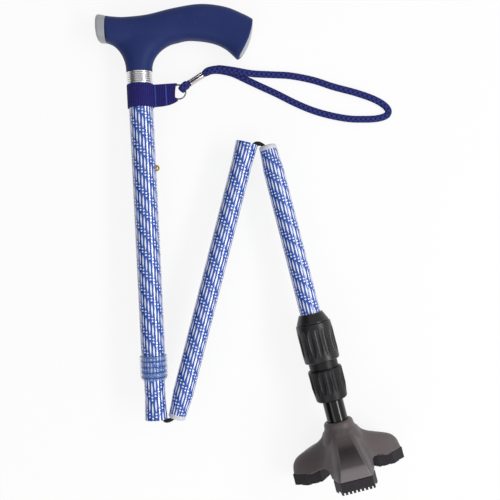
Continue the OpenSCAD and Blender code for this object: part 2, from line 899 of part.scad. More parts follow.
module twist_barrel() {
    r = barrel_d / 2;
    bore = core_r + slide_gap;
    color("#2f2d31")
        on_lower()
            translate([0, 0, barrel_at])
                difference() {
                    rotate_extrude()
                        polygon([
                            [shaft_r + slide_gap, 0], [r - 0.9, 0], [r - 0.5, 0.6], [r, 8], [r, barrel_len - 9],
                            [r - 0.4, barrel_len - 0.8], [r - 1, barrel_len], [bore, barrel_len], [bore, 3], [shaft_r + slide_gap, 3]
                        ]);
                    flutes(r, barrel_len / 2);
                }
}

module twist_nut() {
    r = nut_d / 2;
    low_r = nut_bottom_d / 2;
    bore = core_r + slide_gap;
    color("#2f2d31")
        on_lower()
            translate([0, 0, nut_at])
                difference() {
                    rotate_extrude()
                        polygon([
                            [bore, 0], [r - 0.6, 0], [r, 1.6], [r, nut_len * 0.55], [low_r, nut_len - 1.2],
                            [low_r - 1.2, nut_len], [shaft_r + slide_gap, nut_len], [shaft_r + slide_gap, nut_len - nut_wall],
                            [bore, nut_len - nut_wall]
                        ]);
                    flutes(r, nut_len * 0.46);
                }
}

// Shaft of the foot: a capped tube that the foot is screwed to
hub_top = lower_len - foot_h;
shaft_end = hub_top + 22;
module foot_shaft() {
    color("#141416")
        on_lower()
            difference() {
                translate([0, 0, shaft_start])
                    cylinder(r = shaft_r, h = shaft_end - shaft_start);
                translate([0, 0, shaft_start - 1])
                    cylinder(r = shaft_bore, h = shaft_end - shaft_start - 3);
                translate([0, 0, shaft_start])
                    cylinder(d = screw_d + 2 * snug_gap, h = shaft_end);
            }
}

screw_d = 5;
module foot_screw() {
    seat = shaft_end + hub_web;
    color("#9a9ca2")
        on_lower() {
            translate([0, 0, shaft_end - 12])
                cylinder(d = screw_d, h = 12 + hub_web);
            translate([0, 0, seat])
                difference() {
                    cylinder(d = 2 * screw_d, h = 4);
                    translate([0, 0, 2])
                        cylinder(d = screw_d, h = 3, $fn = 6);
                }
        }
}

// Tripod foot: level outlines with three lobes, from the hub down to the pads. A row holds the height,
// the reach of a leg, half the width of its flat panel, the reach and half width of its shoulder, and
// the radius of the web between two legs
hub_web = 4;
pad_root_r = foot_r * 0.474;
leg_wide_r = foot_r * 0.702;
arch_h = pad_h + 10;
pad_seat = pad_h + snug_gap;
lobe_steps = 5;
lobe_rows = [
    [foot_h * 0.837, foot_r * 0.291, leg_end_w * 0.18, foot_r * 0.28, leg_w * 0.21, foot_r * 0.266],
    [foot_h * 0.769, foot_r * 0.325, leg_end_w * 0.21, foot_r * 0.31, leg_w * 0.245, foot_r * 0.3],
    [foot_h * 0.712, foot_r * 0.385, leg_end_w * 0.235, foot_r * 0.36, leg_w * 0.285, foot_r * 0.327],
    [foot_h * 0.654, foot_r * 0.479, leg_end_w * 0.26, foot_r * 0.44, leg_w * 0.33, foot_r * 0.352],
    [foot_h * 0.596, foot_r * 0.6, leg_end_w * 0.285, foot_r * 0.545, leg_w * 0.38, foot_r * 0.377],
    [foot_h * 0.538, foot_r * 0.747, leg_end_w * 0.31, foot_r * 0.675, leg_w * 0.43, foot_r * 0.4],
    [foot_h * 0.462, foot_r * 0.89, leg_end_w * 0.35, foot_r * 0.8, leg_w * 0.475, foot_r * 0.435],
    [foot_h * 0.365, foot_r * 0.965, leg_end_w * 0.41, foot_r * 0.868, leg_w * 0.495, foot_r * 0.48],
    [foot_h * 0.269, foot_r * 0.982, leg_end_w * 0.455, foot_r * 0.875, leg_w * 0.495, foot_r * 0.52],
    [pad_seat, foot_r * 0.986, leg_end_w * 0.492, foot_r * 0.88, leg_w * 0.49, foot_r * 0.544]
];

// Side of a lobe from the panel's edge to the web: a cubic curve whose handles are the shoulder and
// a point square to the web
function lobe_point(row, t) =
    let (
        web = row[5] * [cos(60), sin(60)],
        lead = web + row[5] * 0.43 * [sin(60), -cos(60)],
        u = 1 - t
    )
    u * u * u * [row[1], row[2]] + 3 * u * u * t * [row[3], row[4]] + 3 * u * t * t * lead + t * t * t * web;
function lobe_side(row) = [for (i = [0 : lobe_steps]) lobe_point(row, i / lobe_steps)];
function lobe(row) =
    let (side = lobe_side(row))
    concat(
        [for (i = [lobe_steps : -1 : 0]) [side[i][0], -side[i][1]]],
        [for (i = [0 : lobe_steps - 1]) side[i]]
    );
function foot_ring(row) = [
    for (leg = [0 : 2], p = lobe(row))
        let (a = 90 + 120 * leg)
        [p[0] * cos(a) - p[1] * sin(a), p[0] * sin(a) + p[1] * cos(a), lower_len - row[0]]
];

module foot_hub() {
    top_r = hub_d / 2;
    color("#5a5455")
        on_lower()
            difference() {
                union() {
                    translate([0, 0, lower_len])
                        mirror([0, 0, 1])
                            rotate_extrude()
                                polygon([
                                    [0, arch_h],
                                    [top_r + 3.5, arch_h],
                                    [top_r + 5.7, foot_h * 0.66],
                                    [top_r + 3.9, foot_h * 0.75],
                                    [top_r + 2, foot_h * 0.83],
                                    [top_r + 0.5, foot_h * 0.88],
                                    [top_r, foot_h * 0.92],
                                    [top_r, foot_h - 2.6],
                                    [top_r - 0.8, foot_h - 0.9],
                                    [top_r - 2.4, foot_h],
                                    [0, foot_h]
                                ]);
                    loft(reversed([for (row = smooth_curve(lobe_rows, 2)) foot_ring(row)]));
                }
                translate([0, 0, lower_len - pad_h + 1])
                    scale([1, 1, 0.5])
                        sphere(r = pad_root_r - 0.6);
                for (leg = [0 : 2])
                    rotate([0, 0, 150 + 120 * leg])
                        translate([0, 0, lower_len - pad_h + 2])
                            rotate([0, 90, 0])
                                scale([7, foot_r * 0.33, 1])
                                    cylinder(r = 1, h = foot_r, $fn = 48);
                translate([0, 0, hub_top - 1])
                    cylinder(r = shaft_r + snug_gap, h = shaft_end - hub_top + 1);
                translate([0, 0, hub_top])
                    cylinder(d = screw_d + 2 * snug_gap, h = foot_h);
                translate([0, 0, shaft_end + hub_web])
                    cylinder(d = 2 * screw_d + 1, h = foot_h);
            }
}

// Rubber pads: the leg's own plan with tread grooves that run out along the leg
module sole_pad(leg) {
    grooves = 10;
    groove_pitch = leg_w / (grooves + 0.6);
    groove_w = groove_pitch * 0.42;
    root_half = leg_w * 0.311;
    color("#353238")
        on_lower()
            rotate([0, 0, 90 + 120 * leg])
                difference() {
                    translate([0, 0, lower_len - pad_h])
                        linear_extrude(pad_h)
                            polygon([
                                [pad_root_r, -root_half],
                                [leg_wide_r, -leg_w / 2],
                                [foot_r, -leg_end_w / 2],
                                [foot_r, leg_end_w / 2],
                                [leg_wide_r, leg_w / 2],
                                [pad_root_r, root_half]
                            ]);
                    for (i = [0 : grooves - 1])
                        translate([
                            pad_root_r - 1,
                            (i - (grooves - 1) / 2) * groove_pitch - groove_w / 2,
                            lower_len - tread_depth
                        ])
                            cube([foot_r, groove_w, tread_depth + 1]);
                }
}

module sole_pad_1() {
    sole_pad(0);
}

module sole_pad_2() {
    sole_pad(1);
}

module sole_pad_3() {
    sole_pad(2);
}

handle_grip();
handle_nose_cap();
handle_tail_cap();
handle_spigot();
handle_rivet();
handle_collar();
outer_tube();
strap_band();
split_ring();
cord_crimp();
wrist_cord();
lock_bush();
lock_ring();
inner_tube();
glide_bush();
snap_button();
button_spring();
upper_anchor();
elastic_upper();
elastic_bridge_a();
middle_end_ring();
middle_tube();
elastic_middle();
elastic_bridge_b();
lower_end_ring();
lower_tube();
elastic_lower();
lower_anchor();
collar_core();
clamp_cone();
upper_collet();
twist_barrel();
lower_collet();
twist_nut();
foot_shaft();
foot_hub();
foot_screw();
sole_pad_1();
sole_pad_2();
sole_pad_3();
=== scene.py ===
import logging
import math
from dataclasses import dataclass, field
from enum import Enum

import bmesh
import bpy
import numpy as np
from mathutils import Matrix, Vector


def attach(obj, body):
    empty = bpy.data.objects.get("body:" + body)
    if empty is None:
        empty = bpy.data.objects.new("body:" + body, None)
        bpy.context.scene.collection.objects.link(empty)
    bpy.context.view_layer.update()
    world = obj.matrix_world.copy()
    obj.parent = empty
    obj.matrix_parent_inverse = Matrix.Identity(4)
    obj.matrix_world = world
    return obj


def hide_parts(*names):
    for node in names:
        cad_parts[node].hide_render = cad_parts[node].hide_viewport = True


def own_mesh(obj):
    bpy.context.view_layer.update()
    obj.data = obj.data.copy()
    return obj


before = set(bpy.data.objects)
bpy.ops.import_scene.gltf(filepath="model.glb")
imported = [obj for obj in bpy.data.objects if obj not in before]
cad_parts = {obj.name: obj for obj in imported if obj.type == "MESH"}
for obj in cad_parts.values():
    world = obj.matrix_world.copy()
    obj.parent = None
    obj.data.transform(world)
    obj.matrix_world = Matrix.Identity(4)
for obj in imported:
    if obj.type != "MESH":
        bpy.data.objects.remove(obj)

log = logging.getLogger("cane")
Array = np.ndarray
MM = 0.001
Z_UP = np.array([0.0, 0.0, 1.0])
LOCK_TOP, LOCK_H = 259.3, 23.0
LOCK_RIDGES, LOCK_RIDGED = 4, 0.86


# Where the sections lie

@dataclass(frozen=True)
class Section:
    """A shaft section's own frame: z runs from the handle to the foot, y away from the table.

    Args:
        origin: the section's first point, in metres.
        axes: the section's x, y and z as rows, in the frame of the model.
    """

    origin: Array
    axes: Array

    def place(self, points: Array) -> Array:
        """Carries points from the section's frame, in millimetres, to the model's, in metres."""
        return self.origin + np.asarray(points, float) * MM @ self.axes

    def local(self, points: Array) -> Array:
        """Carries points from the model's frame, in metres, to the section's, in millimetres."""
        return (points - self.origin) @ self.axes.T / MM

    def turn(self) -> Matrix:
        """Returns the section's turn as a matrix with the axes as columns."""
        return Matrix(self.axes.T.tolist())


@dataclass(frozen=True)
class ZigZag:
    """The half-folded pose: three headings in one plane that leans on the foot's pads and the handle."""

    upper_lean: float = 2.8
    middle_lean: float = 14.3
    lower_lean: float = 14.4
    upper_from: tuple[float, float] = (-100.8, 163.4)
    table_at: tuple[float, float] = (-1.4, -2.3)
    mouth_z: float = 317.6
    middle_len: float = 259.0
    lower_len: float = 310.0
    hinge_out: float = 9.0
    hinge_past_mouth: float = 1.0
    hinge_before_tip: float = 3.0
    pad_low: float = 52.0 * 0.5 + 14.0 * math.sin(math.radians(60.0))
    pad_h: float = 10.0
    handle_half: float = 14.0

    def plane_point(self, start: Array, heading: float, across: float, along: float) -> Array:
        """Returns the plane's point at a distance across and along a section that starts at a point."""
        h = math.radians(heading)
        return start + across * np.array([math.cos(h), math.sin(h)]) + along * np.array([math.sin(h), -math.cos(h)])

    def starts(self) -> tuple[Array, Array, Array]:
        """Returns the first points of the upper, middle and lower sections in the plane."""
        upper = np.array(self.upper_from)
        turn_a = self.plane_point(upper, self.upper_lean, self.hinge_out, self.mouth_z + self.hinge_past_mouth)
        middle = self.plane_point(turn_a, 180 - self.middle_lean, -self.hinge_out, self.hinge_before_tip)
        turn_b = self.plane_point(
            middle, 180 - self.middle_lean, -self.hinge_out, self.middle_len + self.hinge_past_mouth
        )
        lower = self.plane_point(turn_b, self.lower_lean, self.hinge_out, self.hinge_before_tip)
        return upper, middle, lower

    def lie(self) -> tuple[Array, Array]:
        """Works out how the plane lies: its turn about the line that stays level, and its rise.

        Returns:
            The turn as a matrix on column vectors, and the plane's origin in millimetres.
        """
        h = math.radians(self.lower_lean)
        fall = np.array([-math.sin(h), math.cos(h)])
        upper, _, lower = self.starts()
        pad = fall @ self.plane_point(lower, self.lower_lean, 0, self.lower_len - self.pad_h)
        nose = fall @ self.plane_point(upper, self.upper_lean, -30, -40)
        tilt = math.atan((self.pad_low - self.handle_half) / (nose - pad))
        rise = self.pad_low * math.cos(tilt) + pad * math.sin(tilt)
        turn = np.array(Matrix.Rotation(-tilt, 3, Vector((math.cos(h), math.sin(h), 0.0))))
        return turn, np.array([self.table_at[0], self.table_at[1], rise])

    def section(self, start: Array, heading: float) -> Section:
        """Returns the frame of the section that starts at a point of the plane with a heading."""
        turn, base = self.lie()
        h = math.radians(heading)
        axes = np.array([[math.cos(h), math.sin(h), 0], [0, 0, 1], [math.sin(h), -math.cos(h), 0]])
        return Section((base + turn @ np.array([start[0], start[1], 0.0])) * MM, axes @ turn.T)

    def sections(self) -> tuple[Section, Section, Section]:
        """Returns the frames of the upper, middle and lower sections."""
        upper, middle, lower = self.starts()
        return (
            self.section(upper, self.upper_lean),
            self.section(middle, 180 - self.middle_lean),
            self.section(lower, self.lower_lean),
        )

    def plane_place(self, points: Array) -> Array:
        """Carries points of the plane's own frame, in millimetres, to the model's, in metres."""
        turn, base = self.lie()
        return (base + np.asarray(points, float) @ turn.T) * MM


ZIGZAG = ZigZag()
UPPER, MIDDLE, LOWER = ZIGZAG.sections()


# Surfaces

class Ends(Enum):
    """How the two ends of a surface are closed."""

    OPEN = "open"
    CAPPED = "capped"
    RING = "ring"


def unit(vectors: Array) -> Array:
    """Returns vectors, one or one per row, with their lengths made 1."""
    return vectors / np.linalg.norm(vectors, axis=-1, keepdims=True)


def run_along(points: Array) -> Array:
    """Returns the distance along a line of points up to each of them."""
    return np.concatenate([[0.0], np.cumsum(np.linalg.norm(np.diff(points, axis=0), axis=1))])


def round_angles(count: int) -> Array:
    """Returns a number of even angles round a full turn, from 0."""
    return np.linspace(0.0, 2 * math.pi, count, endpoint=False)


def smooth_curve(points: Array, steps: int) -> Array:
    """Carries a smooth curve through points: a cubic between neighbours with slopes from their outer pair.

    Args:
        points: the points, one per row.
        steps: the number of steps between two neighbours.

    Returns:
        The curve's points, one per row.
    """
    p = np.asarray(points, float)
    padded = np.vstack([p[:1], p, p[-1:]])
    a, b, c, d = padded[:-3], padded[1:-2], padded[2:-1], padded[3:]
    t = (np.arange(steps) / steps)[None, :, None]
    a, b, c, d = (x[:, None, :] for x in (a, b, c, d))
    curve = 0.5 * (2 * b + (c - a) * t + (2 * a - 5 * b + 4 * c - d) * t**2 + (3 * b - a - 3 * c + d) * t**3)
    return np.vstack([curve.reshape(-1, p.shape[1]), p[-1:]])


def even_curve(points: Array, count: int) -> Array:
    """Returns a number of points at even distances along a line of points."""
    p = np.asarray(points, float)
    run = run_along(p[:, :3])
    at = np.linspace(0.0, run[-1], count)
    return np.stack([np.interp(at, run, p[:, k]) for k in range(p.shape[1])], axis=1)


def oval(count: int, fullness: float) -> Array:
    """Returns a unit superellipse: the signed powers of cosine and sine, one point per row."""
    a = round_angles(count)
    e = 2.0 / fullness
    return np.stack([np.sign(np.cos(a)) * np.abs(np.cos(a)) ** e, np.sign(np.sin(a)) * np.abs(np.sin(a)) ** e], axis=1)


def revolve(profile: Array, segments: int) -> Array:
    """Turns a profile of radius and height about z: a grid with one row per profile point.

    Args:
        profile: radius and height, one point per row.
        segments: the number of steps round the axis.

    Returns:
        The grid of points, rows by segments by 3.
    """
    p = np.asarray(profile, float)
    a = round_angles(segments)
    x = p[:, :1] * np.cos(a)[None, :]
    y = p[:, :1] * np.sin(a)[None, :]
    return np.stack([x, y, np.repeat(p[:, 1:2], segments, axis=1)], axis=2)


def sweep(path: Array, half_w: Array, half_t: Array, sides: int, fullness: float = 2.0) -> Array:
    """Carries an oval along a path, its wide side level across the path.

    Args:
        path: the path's points, one per row.
        half_w: half the oval's width at each point.
        half_t: half its thickness at each point.
        sides: the number of points round the oval.
        fullness: the oval's power, 2 for an ellipse.

    Returns:
        The grid of points, one row per path point.
    """
    d = unit(np.gradient(path, axis=0))
    side = unit(np.cross(d, Z_UP))
    up = np.cross(side, d)
    ring = oval(sides, fullness)
    return (
        path[:, None, :]
        + side[:, None, :] * (half_w[:, None] * ring[None, :, 0])[:, :, None]
        + up[:, None, :] * (half_t[:, None] * ring[None, :, 1])[:, :, None]
    )


def rounded_profile(corners: list[tuple[float, float, float]], steps: int = 5) -> Array:
    """Rounds the corners of a closed outline: each corner is replaced by an even bow between its two cuts.

    Args:
        corners: x, y and the length of the cut at each corner.
        steps: the number of steps in a bow.

    Returns:
        The rounded outline, one point per row.
    """
    c = np.array(corners, float)
    p, cut = c[:, :2], c[:, 2:3]
    lead = p + unit(np.roll(p, 1, axis=0) - p) * cut
    tail = p + unit(np.roll(p, -1, axis=0) - p) * cut
    t = np.linspace(0.0, 1.0, steps + 1)[None, :, None]
    bow = lead[:, None, :] * (1 - t) ** 2 + 2 * p[:, None, :] * t * (1 - t) + tail[:, None, :] * t**2
    return bow.reshape(-1, 2)


def linked(name: str, data: bpy.types.ID) -> bpy.types.Object:
    """Puts data into a new object of the scene and returns the object."""
    thing = bpy.data.objects.new(name, data)
    bpy.context.scene.collection.objects.link(thing)
    return thing


def shade_smooth(mesh: bpy.types.Mesh) -> None:
    """Gives every face of a mesh smooth shading."""
    mesh.polygons.foreach_set("use_smooth", np.ones(len(mesh.polygons), bool))
    mesh.update()


def mesh_object(name: str, points: Array, faces: Array, uv: Array | None = None) -> bpy.types.Object:
    """Puts points and four-sided faces into a new object, merges doubles and turns the faces outwards.

    Args:
        name: the object's name.
        points: the points in metres, one per row.
        faces: four indices per row.
        uv: the map's u and v for each corner of each face, if it has one.

    Returns:
        The object, linked to the scene.
    """
    mesh = bpy.data.meshes.new(name)
    mesh.vertices.add(len(points))
    mesh.vertices.foreach_set("co", np.asarray(points, np.float32).ravel())
    mesh.loops.add(faces.size)
    mesh.loops.foreach_set("vertex_index", faces.astype(np.int32).ravel())
    mesh.polygons.add(len(faces))
    mesh.polygons.foreach_set("loop_start", np.arange(0, faces.size, 4, dtype=np.int32))
    mesh.update(calc_edges=True)
    if uv is not None:
        layer = mesh.uv_layers.new(name="run")
        layer.data.foreach_set("uv", np.asarray(uv, np.float32).ravel())
    work = bmesh.new()
    work.from_mesh(mesh)
    bmesh.ops.remove_doubles(work, verts=work.verts, dist=1e-7)
    bmesh.ops.recalc_face_normals(work, faces=work.faces)
    work.to_mesh(mesh)
    work.free()
    shade_smooth(mesh)
    return linked(name, mesh)


def surface(name: str, grid: Array, ends: Ends = Ends.CAPPED) -> bpy.types.Object:
    """Makes an object of a grid that closes round its second direction.

    Args:
        name: the object's name.
        grid: rows by columns by 3, in metres.
        ends: how the first and last rows are closed; RING joins them to each other.

    Returns:
        The object, with a map of the share round and the metres along.
    """
    if ends is Ends.CAPPED:
        first = np.broadcast_to(grid[0].mean(axis=0), grid[0].shape)
        last = np.broadcast_to(grid[-1].mean(axis=0), grid[-1].shape)
        grid = np.concatenate([first[None], grid, last[None]], axis=0)
    elif ends is Ends.RING:
        grid = np.concatenate([grid, grid[:1]], axis=0)
    rows, cols = grid.shape[:2]
    i, j = (x.ravel() for x in np.meshgrid(np.arange(rows - 1), np.arange(cols), indexing="ij"))
    k = (j + 1) % cols
    faces = np.stack([i * cols + j, i * cols + k, (i + 1) * cols + k, (i + 1) * cols + j], axis=1)
    run = run_along(grid.mean(axis=1))
    u = np.stack([j, j + 1, j + 1, j], axis=1) / cols
    v = np.stack([run[i], run[i], run[i + 1], run[i + 1]], axis=1)
    return mesh_object(name, grid.reshape(-1, 3), faces, np.stack([u, v], axis=2))


def sheet_solid(name: str, top: Array, bottom: Array) -> bpy.types.Object:
    """Makes a closed slab of two grids of the same shape, the outer edges joined all round.

    Args:
        name: the object's name.
        top: rows by columns by 3, in metres.
        bottom: the same grid, lower by the slab's thickness.

    Returns:
        The object.
    """
    loop = np.concatenate([top, bottom[:, ::-1]], axis=1)
    thing = surface(name, loop, Ends.OPEN)
    close_ends(thing)
    return thing


def close_ends(thing: bpy.types.Object) -> None:
    """Closes the open ends of an object's mesh with flat faces."""
    work = bmesh.new()
    work.from_mesh(thing.data)
    bmesh.ops.holes_fill(work, edges=[e for e in work.edges if e.is_boundary], sides=0)
    bmesh.ops.recalc_face_normals(work, faces=work.faces)
    work.to_mesh(thing.data)
    work.free()


def apply_modifiers(thing: bpy.types.Object) -> bpy.types.Mesh:
    """Turns an object's modifiers into its mesh.

    Args:
        thing: the object.

    Returns:
        The object's new mesh.
    """
    bpy.context.view_layer.update()
    graph = bpy.context.evaluated_depsgraph_get()
    made = bpy.data.meshes.new_from_object(thing.evaluated_get(graph))
    thing.modifiers.clear()
    thing.data = made
    return made


def add_smooth(thing: bpy.types.Object, name: str, rounds: int) -> bpy.types.Modifier:
    """Adds rounds of even smoothing to an object.

    Args:
        thing: the object.
        name: the modifier's name.
        rounds: the number of rounds.

    Returns:
        The modifier.
    """
    ease = thing.modifiers.new(name, "SMOOTH")
    ease.factor = 0.5
    ease.iterations = rounds
    return ease


def carve(thing: bpy.types.Object, cutters: list[bpy.types.Object]) -> None:
    """Cuts shapes out of a closed object and removes the cutters."""
    for index, cutter in enumerate(cutters):
        cut = thing.modifiers.new(f"cut_{index}", "BOOLEAN")
        cut.operation = "DIFFERENCE"
        cut.solver = "EXACT"
        cut.object = cutter
    apply_modifiers(thing)
    for cutter in cutters:
        bpy.data.objects.remove(cutter)


def melt(name: str, parts: list[bpy.types.Object], voxel: float, rounds: int) -> bpy.types.Object:
    """Melts closed shapes into one skin with soft inner corners: a voxel remesh and then even smoothing.

    Args:
        name: the object's name.
        parts: the closed shapes, which are removed.
        voxel: the remesh's step in metres.
        rounds: the number of smoothing rounds.

    Returns:
        The melted object.
    """
    work = bmesh.new()
    for part in parts:
        work.from_mesh(part.data)
        bpy.data.objects.remove(part)
    rough = bpy.data.meshes.new(name + "_rough")
    work.to_mesh(rough)
    work.free()
    thing = linked(name, rough)
    remesh = thing.modifiers.new("melt", "REMESH")
    remesh.mode = "VOXEL"
    remesh.voxel_size = voxel
    add_smooth(thing, "ease", rounds)
    made = apply_modifiers(thing)
    made.name = name
    shade_smooth(made)
    return thing


def relax(thing: bpy.types.Object, weights: Array, rounds: int) -> None:
    """Smooths an object's skin further where its weights are above 0.

    Args:
        thing: the object.
        weights: one weight from 0 to 1 per point.
        rounds: the number of smoothing rounds.
    """
    group = thing.vertex_groups.new(name="relax")
    levels = 10
    steps = np.round(weights * levels).astype(int)
    for step in range(1, levels + 1):
        group.add(np.flatnonzero(steps == step).tolist(), step / levels, "REPLACE")
    add_smooth(thing, "relax", rounds).vertex_group = "relax"
    apply_modifiers(thing)
    thing.vertex_groups.clear()


def points_of(thing: bpy.types.Object) -> Array:
    """Returns the points of an object's mesh, one per row."""
    flat = np.zeros(len(thing.data.vertices) * 3, np.float32)
    thing.data.vertices.foreach_get("co", flat)
    return flat.reshape(-1, 3).astype(float)


def add_mask(thing: bpy.types.Object, name: str, values: Array) -> None:
    """Stores one number per point of an object's mesh under a name."""
    layer = thing.data.attributes.new(name, "FLOAT", "POINT")
    layer.data.foreach_set("value", np.asarray(values, np.float32))


# Finishes

class Wiring:
    """Short hand for placing and linking nodes in a tree."""

    def __init__(self, tree: bpy.types.NodeTree) -> None:
        """Keeps the tree that nodes are placed in."""
        self.tree = tree

    def node(self, kind: str, **settings: object) -> bpy.types.Node:
        """Places a node and sets its properties."""
        made = self.tree.nodes.new(kind)
        for key, value in settings.items():
            setattr(made, key, value)
        return made

    def feed(self, socket: bpy.types.NodeSocket, value: object) -> None:
        """Sets a socket to a number or colour, or links it to another socket."""
        if isinstance(value, bpy.types.NodeSocket):
            self.tree.links.new(value, socket)
        else:
            socket.default_value = value

    def fill(self, node: bpy.types.Node, values: dict[str, object]) -> None:
        """Sets or links a node's inputs by name."""
        for key, value in values.items():
            self.feed(node.inputs[key], value)

    def group(self, tree: bpy.types.NodeTree, values: dict[str, object]) -> bpy.types.bpy_prop_collection:
        """Places a shader group, fills its inputs and returns its outputs."""
        made = self.node("ShaderNodeGroup", node_tree=tree)
        self.fill(made, values)
        return made.outputs

    def place(self) -> bpy.types.NodeSocket:
        """Returns a point's place in its object's frame."""
        return self.node("ShaderNodeTexCoord").outputs["Object"]

    def math(self, op: str, a: object, b: object = 0.0) -> bpy.types.NodeSocket:
        """Places a math node and returns its result."""
        made = self.node("ShaderNodeMath", operation=op)
        self.feed(made.inputs[0], a)
        self.feed(made.inputs[1], b)
        return made.outputs[0]

    def ease(self, value: object, low: float, high: float) -> bpy.types.NodeSocket:
        """Returns 0 below low, 1 above high and a soft step between them."""
        made = self.node("ShaderNodeMapRange", interpolation_type="SMOOTHSTEP", clamp=True)
        for index, part in enumerate((value, low, high, 0.0, 1.0)):
            self.feed(made.inputs[index], part)
        return made.outputs[0]

    def mix(self, share: object, a: object, b: object) -> bpy.types.NodeSocket:
        """Mixes two colours by a share."""
        made = self.node("ShaderNodeMix", data_type="RGBA")
        self.feed(made.inputs[0], share)
        self.feed(made.inputs[6], a)
        self.feed(made.inputs[7], b)
        return made.outputs[2]

    def noise(self, vector: object, scale: object, detail: float = 2.0) -> bpy.types.NodeSocket:
        """Returns a noise value at a vector."""
        made = self.node("ShaderNodeTexNoise")
        self.fill(made, {"Vector": vector, "Scale": scale, "Detail": detail})
        return made.outputs[0]

    def split(self, vector: object) -> tuple[bpy.types.NodeSocket, ...]:
        """Returns the three parts of a vector."""
        made = self.node("ShaderNodeSeparateXYZ")
        self.feed(made.inputs[0], vector)
        return tuple(made.outputs)


def new_group(name: str, inputs: dict[str, str], outputs: dict[str, str]) -> tuple[bpy.types.NodeTree, Wiring, dict]:
    """Makes an empty shader group with named sockets.

    Args:
        name: the group's name.
        inputs: socket names and kinds.
        outputs: socket names and kinds.

    Returns:
        The group, its wiring, and its ends as a dictionary of sockets.
    """
    group = bpy.data.node_groups.new(name, "ShaderNodeTree")
    for way, sockets in (("INPUT", inputs), ("OUTPUT", outputs)):
        for key, kind in sockets.items():
            group.interface.new_socket(name=key, in_out=way, socket_type="NodeSocket" + kind)
    wires = Wiring(group)
    start, end = wires.node("NodeGroupInput"), wires.node("NodeGroupOutput")
    ends = {key: start.outputs[key] for key in inputs}
    ends.update({key: end.inputs[key] for key in outputs})
    return group, wires, ends


